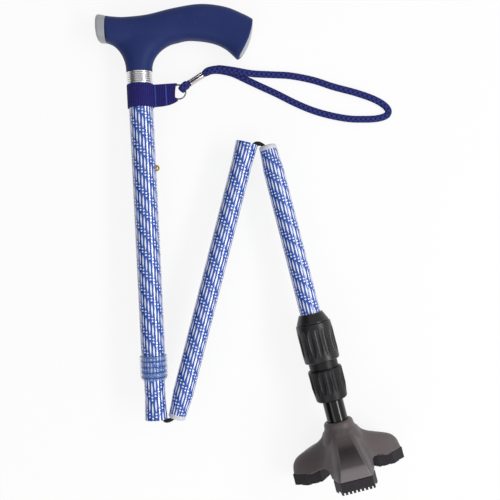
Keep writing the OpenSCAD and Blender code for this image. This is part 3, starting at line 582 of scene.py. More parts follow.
class Effects:
    """The shader groups that the finishes share, each built once."""

    def __init__(self) -> None:
        """Builds the groups."""
        self.grain = self.build_grain()
        self.print = self.build_print()
        self.weave = self.build_weave()
        self.braid = self.build_braid()

    @staticmethod
    def build_grain() -> bpy.types.NodeTree:
        """Builds moulded grain: fine noise for height and broad noise for tone, scuffs and roughness."""
        group, w, e = new_group(
            "moulded_grain",
            {"Vector": "Vector", "Scale": "Float", "Colour": "Color", "Worn": "Color", "Amount": "Float",
             "Rough": "Float"},
            {"Colour out": "Color", "Roughness": "Float", "Height": "Float"},
        )
        fine = w.noise(e["Vector"], e["Scale"], 3.0)
        broad = w.noise(e["Vector"], 38.0, 4.0)
        streak = w.noise(e["Vector"], 160.0, 5.0)
        scuff = w.ease(streak, 0.6, 0.78)
        tone = w.math("MULTIPLY", w.math("ADD", w.ease(broad, 0.3, 0.75), scuff), e["Amount"])
        w.feed(e["Colour out"], w.mix(w.math("MINIMUM", tone, 1.0), e["Colour"], e["Worn"]))
        lift = w.math("MULTIPLY", w.math("SUBTRACT", broad, 0.5), 0.22)
        w.feed(e["Roughness"], w.math("ADD", e["Rough"], w.math("ADD", lift, w.math("MULTIPLY", scuff, 0.08))))
        w.feed(e["Height"], fine)
        return group

    @staticmethod
    def build_print() -> bpy.types.NodeTree:
        """Builds the tube's print: columns of long pale slivers between pairs of dots, each column moved on.

        The share round the tube is the angle over a full turn. Its columns are whole numbers, and every
        column is moved along by the same share of the repeat, so the print closes round the tube. The rows
        climb for a span of columns from the front one and then turn back.
        """
        group, w, e = new_group(
            "tube_print",
            {"Vector": "Vector", "Columns": "Float", "Pitch": "Float", "Drift": "Float", "Repeat": "Float",
             "Front": "Float", "Span": "Float"},
            {"Pale": "Float", "Edge": "Float"},
        )
        x, y, z = w.split(e["Vector"])
        turn = w.math("DIVIDE", w.math("ARCTAN2", y, x), 2 * math.pi)
        column = w.math("MULTIPLY", w.math("ADD", turn, 0.5), e["Columns"])
        index = w.math("PINGPONG", w.math("SUBTRACT", w.math("FLOOR", column), e["Front"]), e["Span"])
        across = w.math("MULTIPLY", w.math("SUBTRACT", w.math("FRACT", column), 0.5), e["Pitch"])
        moved = w.math("ADD", w.math("DIVIDE", z, e["Repeat"]), w.math("MULTIPLY", index, e["Drift"]))
        along = w.math("MULTIPLY", w.math("SUBTRACT", w.math("FRACT", moved), 0.5), e["Repeat"])
        sliver_back, sliver_half, sliver_wide = 2.6 * MM, 6.2 * MM, 0.68 * MM
        dot_places, dot_r = (5.0 * MM, 7.6 * MM), 0.8 * MM
        edge = (-0.1 * MM, 0.12 * MM)
        near = w.math("ADD", along, sliver_back)
        bow = w.math("SUBTRACT", 1.0, w.math("POWER", w.math("ABSOLUTE", w.math("DIVIDE", near, sliver_half)), 2.0))
        width = w.math("MULTIPLY", bow, sliver_wide)
        sliver = w.ease(w.math("SUBTRACT", width, w.math("ABSOLUTE", across)), *edge)
        dots: list[bpy.types.NodeSocket] = []
        for at in dot_places:
            off = w.math("SUBTRACT", along, at)
            reach = w.math("SQRT", w.math("ADD", w.math("POWER", off, 2.0), w.math("POWER", across, 2.0)))
            dots.append(w.ease(w.math("SUBTRACT", dot_r, reach), *edge))
        w.feed(e["Pale"], w.math("MAXIMUM", sliver, w.math("MAXIMUM", dots[0], dots[1])))
        w.feed(e["Edge"], w.noise(e["Vector"], 900.0, 2.0))
        return group

    @staticmethod
    def build_weave() -> bpy.types.NodeTree:
        """Builds a webbing weave: strong sine ribs along the webbing, and a weak sine weft across them."""
        group, w, e = new_group("webbing_weave", {"Vector": "Vector", "Thread": "Float"},
                                {"Height": "Float", "Tone": "Float"})
        x, _, z = w.split(e["Vector"])
        turn = w.math("DIVIDE", 2 * math.pi, e["Thread"])
        rib = w.math("SINE", w.math("MULTIPLY", x, turn))
        weft = w.math("SINE", w.math("MULTIPLY", z, w.math("MULTIPLY", turn, 1.3)))
        height = w.math("ADD", w.math("ADD", w.math("MULTIPLY", rib, 0.36), w.math("MULTIPLY", weft, 0.14)), 0.5)
        w.feed(e["Height"], height)
        fuzz = w.math("MULTIPLY", w.noise(e["Vector"], 220.0), 0.3)
        w.feed(e["Tone"], w.math("ADD", w.math("MULTIPLY", height, 0.7), fuzz))
        return group

    @staticmethod
    def build_braid() -> bpy.types.NodeTree:
        """Builds a braid: two sets of slanted strands that cross, from the share round and metres along."""
        group, w, e = new_group("cord_braid", {"Vector": "Vector", "Strands": "Float", "Step": "Float"},
                                {"Height": "Float", "Tone": "Float"})
        x, y, _ = w.split(e["Vector"])
        round_turns = w.math("MULTIPLY", x, e["Strands"])
        along = w.math("DIVIDE", y, e["Step"])
        left = w.math("ABSOLUTE", w.math("SUBTRACT", w.math("FRACT", w.math("ADD", round_turns, along)), 0.5))
        right = w.math("ABSOLUTE", w.math("SUBTRACT", w.math("FRACT", w.math("SUBTRACT", round_turns, along)), 0.5))
        height = w.math("SUBTRACT", 1.0, w.math("MULTIPLY", w.math("MINIMUM", left, right), 2.0))
        w.feed(e["Height"], height)
        w.feed(e["Tone"], w.math("ADD", left, right))
        return group


EFFECTS = Effects()


def bare_material(name: str, kind: str) -> tuple[bpy.types.Material, Wiring, bpy.types.Node]:
    """Makes a material with one shader node.

    Args:
        name: the material's name.
        kind: the shader node's kind.

    Returns:
        The material, its wiring and its shader node.
    """
    made = bpy.data.materials.new(name)
    made.use_nodes = True
    made.node_tree.nodes.clear()
    w = Wiring(made.node_tree)
    shader = w.node(kind)
    w.feed(w.node("ShaderNodeOutputMaterial").inputs[0], shader.outputs[0])
    return made, w, shader


def principled(name: str) -> tuple[bpy.types.Material, Wiring, bpy.types.Node]:
    """Makes a material with a Principled shader, and returns it with its wiring and its shader node."""
    return bare_material(name, "ShaderNodeBsdfPrincipled")


def laid(w: Wiring, section: Section) -> bpy.types.NodeSocket:
    """Places the nodes that give a point's place in a section's frame.

    Args:
        w: the wiring of a material.
        section: the section.

    Returns:
        The socket with the place, in metres.
    """
    lay = w.node("ShaderNodeMapping", vector_type="TEXTURE")
    w.fill(lay, {"Vector": w.place(), "Location": tuple(section.origin),
                 "Rotation": tuple(section.turn().to_euler("XYZ"))})
    return lay.outputs[0]


def solid(colour: tuple[float, ...]) -> tuple[float, ...]:
    """Returns a colour with full alpha."""
    return (*colour, 1.0)


def bump(w: Wiring, shader: bpy.types.Node, height: bpy.types.NodeSocket, depth: float, strength: float = 1.0) -> None:
    """Feeds a height to a shader's normal through a bump of a depth in metres."""
    made = w.node("ShaderNodeBump")
    w.fill(made, {"Strength": strength, "Distance": depth, "Height": height})
    w.feed(shader.inputs["Normal"], made.outputs[0])


def grained(w: Wiring, shader: bpy.types.Node, depth: float, values: dict[str, object]) -> None:
    """Gives a shader moulded grain: its colour, its roughness and its bump.

    Args:
        w: the wiring of the shader's material.
        shader: the shader.
        depth: the grain's depth in metres.
        values: what the grain's group takes, apart from the place.
    """
    grain = w.group(EFFECTS.grain, {"Vector": w.place(), **values})
    w.fill(shader, {"Base Color": grain["Colour out"], "Roughness": grain["Roughness"]})
    bump(w, shader, grain["Height"], depth)


@dataclass(frozen=True)
class Moulded:
    """A plastic, rubber or metal finish with grain, scuffs and an uneven gloss.

    Args:
        name: the material's name.
        colour: the base colour, linear.
        worn: the colour towards which scuffs go.
        rough: the roughness.
        grain: the grain's scale.
        depth: the grain's depth in metres.
        amount: how strong the scuffs are.
        metal: the metallic share.
        gloss: the level of the surface's reflection.
    """

    name: str
    colour: tuple[float, float, float]
    worn: tuple[float, float, float]
    rough: float = 0.45
    grain: float = 1800.0
    depth: float = 0.00006
    amount: float = 0.25
    metal: float = 0.0
    gloss: float = 0.5

    def build(self) -> bpy.types.Material:
        """Builds the material."""
        made, w, shader = principled(self.name)
        grained(w, shader, self.depth, {"Scale": self.grain, "Colour": solid(self.colour), "Worn": solid(self.worn),
                                        "Amount": self.amount, "Rough": self.rough})
        w.fill(shader, {"Metallic": self.metal, "Specular IOR Level": self.gloss})
        return made


@dataclass(frozen=True)
class PrintedTube:
    """A gloss tube with a pale print on a coloured ground, laid round one section's axis.

    Args:
        name: the material's name.
        section: the section whose axis the print goes round.
        radius: the tube's radius in millimetres.
        columns: the number of columns round the tube.
        drift: the share of the repeat by which each column moves on; times columns, a whole number.
        ground: the ground's colour, linear.
        pale: the colour of slivers and dots, linear.
        repeat: the print's repeat along the tube in metres.
        front: the column from which the rows climb.
        span: the number of columns after which the rows turn back.
    """

    name: str
    section: Section
    radius: float
    columns: int
    drift: float
    ground: tuple[float, float, float] = (0.015, 0.084, 0.435)
    pale: tuple[float, float, float] = (0.85, 0.87, 0.92)
    repeat: float = 0.0188
    front: float = 0.0
    span: float = 64.0

    def build(self) -> bpy.types.Material:
        """Builds the material."""
        made, w, shader = principled(self.name)
        art = w.group(EFFECTS.print, {
            "Vector": laid(w, self.section), "Columns": float(self.columns),
            "Pitch": 2 * math.pi * self.radius * MM / self.columns, "Drift": self.drift, "Repeat": self.repeat,
            "Front": self.front, "Span": self.span})
        deep = tuple(c * 0.72 for c in self.ground)
        ground = w.mix(w.ease(art["Edge"], 0.35, 0.7), solid(self.ground), solid(deep))
        worn = w.noise(w.place(), 60.0, 4.0)
        w.fill(shader, {"Base Color": w.mix(art["Pale"], ground, solid(self.pale)),
                        "Roughness": w.math("ADD", 0.12, w.math("MULTIPLY", worn, 0.1)),
                        "Specular IOR Level": 0.3, "Coat Weight": 1.0, "Coat Roughness": 0.04})
        bump(w, shader, art["Pale"], 0.00003, 0.6)
        return made


@dataclass(frozen=True)
class Woven:
    """A webbing finish with crossed threads, laid along one section's axes.

    Args:
        name: the material's name.
        section: the section that the threads lie along.
        colour: the colour between the threads.
        light: the colour on the threads.
        thread: the distance between threads in metres.
    """

    name: str
    section: Section
    colour: tuple[float, float, float]
    light: tuple[float, float, float]
    thread: float = 0.0016

    def build(self) -> bpy.types.Material:
        """Builds the material."""
        made, w, shader = principled(self.name)
        weave = w.group(EFFECTS.weave, {"Vector": laid(w, self.section), "Thread": self.thread})
        w.fill(shader, {"Base Color": w.mix(weave["Tone"], solid(self.colour), solid(self.light)), "Roughness": 0.82,
                        "Specular IOR Level": 0.15, "Sheen Weight": 0.03})
        bump(w, shader, weave["Height"], 0.0003)
        return made


@dataclass(frozen=True)
class Braided:
    """A braided cord's finish, which follows the piece's own map.

    Args:
        name: the material's name.
        colour: the colour between the strands.
        light: the colour on the strands.
        strands: the number of strands round the cord.
        step: the braid's length along the cord in metres before it starts again.
        depth: the height of the strands in metres.
    """

    name: str
    colour: tuple[float, float, float]
    light: tuple[float, float, float]
    strands: float = 5.0
    step: float = 0.0042
    depth: float = 0.0005

    def build(self) -> bpy.types.Material:
        """Builds the material."""
        made, w, shader = principled(self.name)
        run = w.node("ShaderNodeUVMap", uv_map="run").outputs[0]
        braid = w.group(EFFECTS.braid, {"Vector": run, "Strands": self.strands, "Step": self.step})
        w.fill(shader, {"Base Color": w.mix(braid["Tone"], solid(self.light), solid(self.colour)), "Roughness": 0.7,
                        "Specular IOR Level": 0.2, "Sheen Weight": 0.03})
        bump(w, shader, braid["Height"], self.depth)
        return made


@dataclass(frozen=True)
class ClearTint:
    """A tinted clear plastic with painted light and shade on its ridges: paler crests and darker valleys in bands along
    a section's axis.

    Args:
        name: the material's name.
        section: the section whose axis the ridges go round.
        top: where the ridges start along the axis, in millimetres.
        pitch: the distance between ridges in millimetres.
        valley_shade: the colour between ridges, painted shade.
        crest_highlight: the colour on a crest, a painted highlight.
        rim: the colour of the narrow rim at the top, a painted shadow line where the ring meets the tube.
        beads: the number of beads round the rim.
    """

    name: str
    section: Section
    top: float
    pitch: float
    valley_shade: tuple[float, float, float] = (0.03, 0.07, 0.36)
    crest_highlight: tuple[float, float, float] = (0.26, 0.44, 0.82)
    rim: tuple[float, float, float] = (0.01, 0.015, 0.05)
    beads: float = 44.0

    def build(self) -> bpy.types.Material:
        """Builds the material."""
        made, w, shader = principled(self.name)
        across, out, along = w.split(laid(w, self.section))
        down = w.math("SUBTRACT", along, self.top * MM)
        turn = w.math("ARCTAN2", out, across)
        bead = w.math("ABSOLUTE", w.math("SINE", w.math("MULTIPLY", turn, self.beads / 2.0)))
        wave = w.math("ABSOLUTE", w.math("SINE", w.math("MULTIPLY", down, math.pi / (self.pitch * MM))))
        cloud = w.noise(w.place(), 160.0, 3.0)
        # Painted light and shade: crests paler and less opaque, valleys darker and more opaque.
        crest_highlight = w.ease(wave, 0.15, 0.8)
        ridge_shading = w.mix(crest_highlight, solid(self.valley_shade), solid(self.crest_highlight))
        inner = w.ease(down, 0.4 * MM, 0.9 * MM)
        # Painted shadow line along the top edge, broken by beads of the crest colour.
        rim = w.mix(w.ease(bead, 0.72, 0.95), solid(self.rim), solid(self.crest_highlight))
        clear = w.math("MULTIPLY", inner, w.math("ADD", 0.42, w.math("MULTIPLY", crest_highlight, 0.28)))
        w.fill(shader, {"Base Color": w.mix(inner, rim, ridge_shading), "Alpha": w.math("SUBTRACT", 0.9, clear),
                        "Roughness": w.math("ADD", 0.06, w.math("MULTIPLY", cloud, 0.12))})
        return made


@dataclass(frozen=True)
class MoldedFoot:
    """The foot's plastic: the piece's own mask tells the legs' panels, which carry painted light and shade, pale at the
    pad and dark towards the hub.

    Args:
        name: the material's name.
        colour: the colour beside the panels.
        low: a panel's colour at the pad, a painted highlight.
        high: a panel's colour at the hub, painted shade.
    """

    name: str
    colour: tuple[float, float, float]
    low: tuple[float, float, float]
    high: tuple[float, float, float]

    def build(self) -> bpy.types.Material:
        """Builds the material."""
        made, w, shader = principled(self.name)
        mask = w.node("ShaderNodeAttribute", attribute_name="panel").outputs["Fac"]
        # Painted light and shade down each panel: pale at the pad, a step to a darker middle, dark towards the hub, and
        # back to the body colour at the top.
        middle = tuple(c * 0.82 for c in self.colour)
        panel = w.mix(w.ease(mask, 0.55, 0.62), solid(self.low), solid(middle))
        panel = w.mix(w.ease(mask, 0.62, 0.82), panel, solid(self.high))
        base = w.mix(w.ease(mask, 0.02, 0.2), solid(self.colour), panel)
        base = w.mix(w.ease(mask, 0.86, 1.0), base, solid(self.colour))
        worn = tuple(min(1.0, c * 1.3) for c in self.colour)
        grained(w, shader, 0.00007, {"Scale": 2200.0, "Colour": base, "Worn": solid(worn), "Amount": 0.15,
                                     "Rough": 0.42})
        w.fill(shader, {"Specular IOR Level": 0.3})
        return made


@dataclass(frozen=True)
class RibbedMetal:
    """A bright metal with dark lines of painted shade across a section's axis, where the grooves between its ribs lie.

    Args:
        name: the material's name.
        section: the section whose axis the ribs go round.
        first: the first groove's place along the axis in millimetres.
        pitch: the distance between grooves in millimetres.
        colour: the metal's colour.
        dark: the colour in the grooves, painted shade.
    """

    name: str
    section: Section
    first: float
    pitch: float
    colour: tuple[float, float, float] = (0.94, 0.94, 0.95)
    dark: tuple[float, float, float] = (0.56, 0.56, 0.58)

    def build(self) -> bpy.types.Material:
        """Builds the material."""
        made, w, shader = principled(self.name)
        z = w.split(laid(w, self.section))[2]
        at = w.math("DIVIDE", w.math("SUBTRACT", z, self.first * MM), self.pitch * MM)
        off = w.math("ABSOLUTE", w.math("SUBTRACT", w.math("FRACT", w.math("ADD", at, 0.5)), 0.5))
        # Painted shade: the metal's colour goes dark at each groove.
        groove = w.math("SUBTRACT", 1.0, w.ease(off, 0.10, 0.24))
        worn = w.noise(w.place(), 90.0, 4.0)
        w.fill(shader, {"Base Color": w.mix(groove, solid(self.colour), solid(self.dark)), "Metallic": 1.0,
                        "Roughness": w.math("ADD", 0.2, w.math("MULTIPLY", worn, 0.14))})
        bump(w, shader, w.math("SUBTRACT", 1.0, groove), 0.0002)
        return made


SOFT_NAVY = Moulded("soft_navy", (0.018, 0.031, 0.128), (0.030, 0.046, 0.165), 0.46, 2600.0, 0.00004, 0.3, gloss=0.1)
CAP_GREY = Moulded("cap_grey", (0.33, 0.34, 0.36), (0.41, 0.42, 0.44), 0.36, 2000.0, 0.00003)
RING_GREY = Moulded("ring_grey", (0.58, 0.59, 0.64), (0.66, 0.67, 0.72), 0.33, 2000.0, 0.00003)
CHROME = Moulded("bright_chrome", (0.74, 0.68, 0.63), (0.60, 0.54, 0.50), 0.2, 900.0, 0.00001, 0.2, 1.0)
# The handle collar's chrome gets painted shade in its grooves.
RIBBED = RibbedMetal("ribbed_chrome", UPPER, 3.55, 1.9)
RING_WIRE = Moulded("ring_wire", (0.17, 0.17, 0.18), (0.12, 0.12, 0.13), 0.22, 900.0, 0.00001, 0.2, 1.0)
STEEL = Moulded("spring_steel", (0.42, 0.425, 0.44), (0.32, 0.32, 0.34), 0.22, 900.0, 0.00001, 0.2, 1.0)
BRASS = Moulded("button_brass", (0.44, 0.31, 0.12), (0.33, 0.23, 0.09), 0.3, 900.0, 0.00001, 0.3, 1.0)
COLLAR_BLACK = Moulded(
    "collar_black", (0.0125, 0.0108, 0.0128), (0.025, 0.0225, 0.0255), 0.34, 2400.0, 0.00006, 0.3, gloss=0.4)
NUT_BLACK = Moulded("nut_black", (0.0095, 0.008, 0.0098), (0.019, 0.017, 0.0195), 0.4, 2400.0, 0.00006, 0.3, gloss=0.25)
SHAFT_BLACK = Moulded(
    "shaft_black", (0.003, 0.0025, 0.0032), (0.007, 0.0065, 0.008), 0.12, 600.0, 0.00001, 0.2, gloss=0.42)
INNER_BLACK = Moulded("inner_black", (0.03, 0.03, 0.032), (0.05, 0.05, 0.054), 0.5, gloss=0.3)
PAD_RUBBER = Moulded(
    "pad_rubber", (0.018, 0.0155, 0.0195), (0.033, 0.0295, 0.035), 0.6, 1400.0, 0.0001, 0.4, gloss=0.22)
# The foot's panels carry painted light at the pad and painted shade towards the hub.
FOOT_WITH_PAINTED_SHADE = MoldedFoot("foot_plastic", (0.096, 0.078, 0.081), (0.168, 0.150, 0.158), (0.031, 0.023, 0.024))
# The clear ring's finish paints light and shade on its ridges and a shadow line at its top.
CLEAR_BLUE = ClearTint("clear_blue", UPPER, LOCK_TOP, LOCK_H * LOCK_RIDGED / LOCK_RIDGES)
WEBBING = Woven("strap_webbing", UPPER, (0.007, 0.0055, 0.074), (0.030, 0.025, 0.19))
THREAD = Moulded("stitch_thread", (0.026, 0.064, 0.36), (0.042, 0.086, 0.42), 0.7, 3000.0, 0.00008)
CORD_BLUE = Braided("cord_blue", (0.001, 0.0015, 0.018), (0.034, 0.046, 0.285), 4.0, 0.0046, 0.0008)
ELASTIC = Braided("elastic_black", (0.006, 0.006, 0.007), (0.022, 0.022, 0.024), 6.0, 0.003, 0.0002)
OUTER_PRINT = PrintedTube("outer_print", UPPER, 11.0, 23, 4.0 / 23.0)
INNER_PRINT = PrintedTube("inner_print", UPPER, 9.5, 20, 4.0 / 20.0, front=15.0, span=10.0)
MIDDLE_PRINT = PrintedTube("middle_print", MIDDLE, 9.5, 20, 3.0 / 20.0)
LOWER_PRINT = PrintedTube("lower_print", LOWER, 9.5, 20, 3.0 / 20.0)


class Stock:
    """Builds each finish once and hands out its material."""

    def __init__(self) -> None:
        """Starts with no materials."""
        self.made: dict[str, bpy.types.Material] = {}

    def of(self, finish: object) -> bpy.types.Material:
        """Returns a finish's material, building it the first time."""
        if finish.name not in self.made:
            self.made[finish.name] = finish.build()
        return self.made[finish.name]


STOCK = Stock()


def dress(thing: bpy.types.Object, finish: object) -> None:
    """Gives an object one finish."""
    thing.data.materials.clear()
    thing.data.materials.append(STOCK.of(finish))


def dress_nodes(finish: object, *names: str) -> None:
    """Gives CAD nodes that show as they are one finish."""
    for name in names:
        dress(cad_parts[name], finish)


def fit(thing: bpy.types.Object, finish: object, body: str, slot: str, *nodes: str) -> bpy.types.Object:
    """Dresses a piece, lets it ride on a body and stand for CAD nodes.

    Args:
        thing: the piece.
        finish: its finish.
        body: the body that it rides on.
        slot: the record's material slot; not used.
        nodes: the CAD nodes that it stands for.

    Returns:
        The piece.
    """
    dress(thing, finish)
    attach(thing, body)
    if nodes:
        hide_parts(*nodes)
    log.info("piece %s rides on %s", thing.name, body)
    return thing


# Sub-assemblies

@dataclass
class Studio:
    """Camera, floor and light."""

    distance: float = 740.0
    lens: float = 58.5
    floor_size: float = 6.0
    floor_drop: float = 0.0004
    floor_tone: float = 0.86
    floor_glow: float = 0.86
    sky: float = 0.6
    dark_from: float = 0.45
    dark_to: float = 0.75

    def camera(self) -> None:
        """Puts the camera square to the zig-zag's plane, above the picture's centre."""
        data = bpy.data.cameras.new("camera")
        data.lens = self.lens
        data.sensor_width = 36.0
        data.clip_start = 0.01
        thing = linked("camera", data)
        turn, _ = ZIGZAG.lie()
        at = ZIGZAG.plane_place(np.array([[0.0, 0.0, self.distance]]))[0]
        thing.matrix_world = Matrix.Translation(Vector(at)) @ Matrix(turn.tolist()).to_4x4()
        bpy.context.scene.camera = thing

    def floor(self) -> None:
        """Makes the pale floor, which shows white to the camera and still takes a shadow."""
        half = self.floor_size / 2
        points = np.array([(x * half, y * half, -self.floor_drop) for x, y in ((-1, -1), (1, -1), (1, 1), (-1, 1))])
        thing = mesh_object("floor", points, np.array([[0, 1, 2, 3]]))
        made, w, blend = bare_material("pale_floor", "ShaderNodeMixShader")
        path = w.node("ShaderNodeLightPath")
        seen = w.math("MAXIMUM", path.outputs["Is Camera Ray"], path.outputs["Is Glossy Ray"])
        seen = w.math("MAXIMUM", seen, path.outputs["Is Transmission Ray"])
        flat = w.node("ShaderNodeBsdfDiffuse")
        flat.inputs["Color"].default_value = solid((self.floor_tone,) * 3)
        glow = w.node("ShaderNodeEmission")
        for socket, value in zip(blend.inputs, (w.math("MULTIPLY", seen, self.floor_glow), flat.outputs[0],
                                                glow.outputs[0])):
            w.feed(socket, value)
        thing.data.materials.append(made)

    def lamp(self, name: str, at: tuple[float, float, float], size: tuple[float, float], power: float) -> None:
        """Places a soft oblong lamp that faces the model's middle, its first side along the table's length."""
        data = bpy.data.lights.new(name, "AREA")
        data.shape = "RECTANGLE"
        data.size, data.size_y = size
        data.energy = power
        thing = linked(name, data)
        way = Vector((0.0, 0.0, 0.0)) - Vector(at)
        thing.matrix_world = Matrix.Translation(Vector(at)) @ way.to_track_quat("-Z", "Y").to_matrix().to_4x4()

    def light(self) -> None:
        """Sets the world and the lamps, and the plain view transform."""
        scene = bpy.context.scene
        scene.view_settings.view_transform = "Standard"
        world = scene.world or bpy.data.worlds.new("studio")
        scene.world = world
        world.use_nodes = True
        w = Wiring(world.node_tree)
        x, _, _ = w.split(w.node("ShaderNodeTexCoord").outputs["Generated"])
        shade = w.ease(w.math("MULTIPLY", x, -1.0), self.dark_from, self.dark_to)
        back = world.node_tree.nodes["Background"]
        w.feed(back.inputs[0], w.mix(shade, (1.0, 1.0, 1.0, 1.0), (0.12, 0.12, 0.12, 1.0)))
        back.inputs[1].default_value = self.sky
        self.lamp("key", (0.95, -0.1, 1.05), (1.5, 0.3), 13.0)
        self.lamp("fill", (-0.55, -1.0, 1.05), (1.0, 1.0), 4.6)


@dataclass
class Handle:
    """The bent handle with its stem, nose cap and tail cap."""

    top: list[tuple[float, float]] = field(default_factory=lambda: [
        (-27.2, -50.3), (-20, -49.2), (-9.8, -48.5), (10.2, -49.8), (34.6, -54.6), (59, -57), (81, -53.4),
        (97.2, -46.1), (104.6, -41.8)])
    bottom: list[tuple[float, float]] = field(default_factory=lambda: [
        (-28.7, -26.8), (-20, -23.6), (-8, -22), (12, -22), (31, -23), (46.4, -25.3), (66.2, -22.2),
        (79.1, -16), (89.1, -6.1)])
    nose: list[tuple[float, ...]] = field(default_factory=lambda: [
        (-27.3, -50.35, -28.8, -26.8, 1.0), (-31.0, -51.4, -31.3, -27.0, 1.0), (-33.8, -51.9, -33.7, -27.4, 1.0),
        (-35.3, -51.3, -35.3, -28.3, 0.97), (-36.2, -49.4, -36.3, -30.4, 0.86), (-36.9, -45.0, -37.0, -36.0, 0.5)])
    arch: float = 3.4
    depth: float = 28.0
    stem_r: float = 11.9
    skirt: float = 2.0
    fullness: float = 2.5
    voxel: float = 0.0007

    def rings(self, top: Array, bottom: Array, depth: Array, count: int) -> Array:
        """Sets an oval between a top and a bottom edge at each step, as thick as depth says."""
        ring = oval(count, self.fullness)
        mid, half = (top + bottom) / 2, (top - bottom) / 2
        across = mid[:, None, :] + half[:, None, :] * ring[None, :, 1:2]
        thick = depth[:, None] / 2 * ring[None, :, 0]
        return np.stack([across[:, :, 0], thick, across[:, :, 1]], axis=2)

    def tail(self, rows: Array, count: int) -> Array:
        """Sets ovals past the bar's slanted end: each row gives the distance out, the share of its size and its bulge.

        A row's bulge moves its points further out, most at its middle and not at its top and bottom corners.
        """
        top, bottom = np.array(self.top[-1]), np.array(self.bottom[-1])
        mid, edge = (top + bottom) / 2, unit(bottom - top)
        way = np.array([edge[1], -edge[0]])
        out, share = way * rows[:, :1], rows[:, 1:2]
        shape = self.rings(mid + (top - mid) * share + out, mid + (bottom - mid) * share + out,
                           share[:, 0] * self.depth, count)
        push = rows[:, 2:3] * (1 - (share * oval(count, self.fullness)[None, :, 1]) ** 2)
        shape[:, :, [0, 2]] += push[:, :, None] * way
        return shape

    def stem(self, count: int) -> Array:
        """Sets level ovals from the collar up into the bar: quarter-ellipse flares that turn in again inside it."""
        z = np.linspace(0.0, 25.0, 40)
        right = self.stem_r + 34.0 * (1 - np.sqrt(1 - (z / 25.3) ** 2))
        left = self.stem_r + 22.0 * (1 - np.sqrt(1 - (z / 27.5) ** 2))
        inside = np.array([(29.0, 36.0, 22.0), (34.0, 28.0, 17.0), (38.0, 18.0, 10.0)])
        skirt = np.array([(-self.skirt, self.stem_r, self.stem_r)])
        rows = np.vstack([skirt, np.stack([z, right, left], axis=1), inside])
        z, right, left = (rows[:, k : k + 1] for k in range(3))
        deep = self.stem_r + (self.depth / 2 - 0.4 - self.stem_r) * np.clip(z / 34.0, 0.0, 1.0)
        a = round_angles(count)[None, :]
        return np.stack([(right - left) / 2 + (right + left) / 2 * np.cos(a), deep * np.sin(a), -z + 0 * a], axis=2)

    def grip(self) -> None:
        """Melts the bar and the flared stem into one soft body."""
        top, bottom = smooth_curve(np.array(self.top), 10), smooth_curve(np.array(self.bottom), 10)
        bar = self.rings(top, bottom, np.full(len(top), self.depth), 72)
        end = self.tail(np.array([
            (0.2, 1.0, 1.2), (0.4, 1.0, 2.4), (0.6, 0.995, 3.2), (0.8, 0.98, self.arch), (0.95, 0.94, self.arch),
            (1.0, 0.86, self.arch)]), 72)
        parts = [surface("bar", UPPER.place(np.concatenate([bar, end]))), surface("stem", UPPER.place(self.stem(72)))]
        thing = melt("handle_body", parts, self.voxel, 4)
        local = UPPER.local(points_of(thing))
        near = np.clip((46.0 - np.abs(local[:, 0] - 6.0)) / 12.0, 0.0, 1.0)
        level = np.clip((40.0 + local[:, 2]) / 8.0, 0.0, 1.0) * np.clip((-6.0 - local[:, 2]) / 8.0, 0.0, 1.0)
        relax(thing, near * level * np.clip(np.abs(local[:, 1]) / 4.0 - 0.5, 0.0, 1.0), 60)
        fit(thing, SOFT_NAVY, "upper_shaft", "soft_blue", "handle_grip")

    def caps(self) -> None:
        """Makes the two end caps, each a row of ovals that close to a softly domed face."""
        fine = smooth_curve(np.array(self.nose), 4)
        shape = self.rings(fine[:, 0:2], fine[:, 2:4], fine[:, 4] * self.depth, 64)
        fit(surface("nose_cap", UPPER.place(shape)), CAP_GREY, "upper_shaft", "grey_plastic", "handle_nose_cap")
        face = ((0.3, 0.86), (0.8, 0.86), (1.05, 0.84), (1.15, 0.76), (1.2, 0.5), (1.2, 0.25), (1.2, 0.05))
        rows = smooth_curve(np.array([(out, share, self.arch) for out, share in face]), 4)
        fit(surface("tail_cap", UPPER.place(self.tail(rows, 64))), CAP_GREY, "upper_shaft", "grey_plastic",
            "handle_tail_cap")

    def build(self) -> None:
        """Builds the grip and its caps, and dresses what is left of the handle's nodes."""
        self.grip()
        self.caps()
        dress_nodes(INNER_BLACK, "handle_spigot")
        dress_nodes(STEEL, "handle_rivet")
        dress_nodes(RIBBED, "handle_collar")


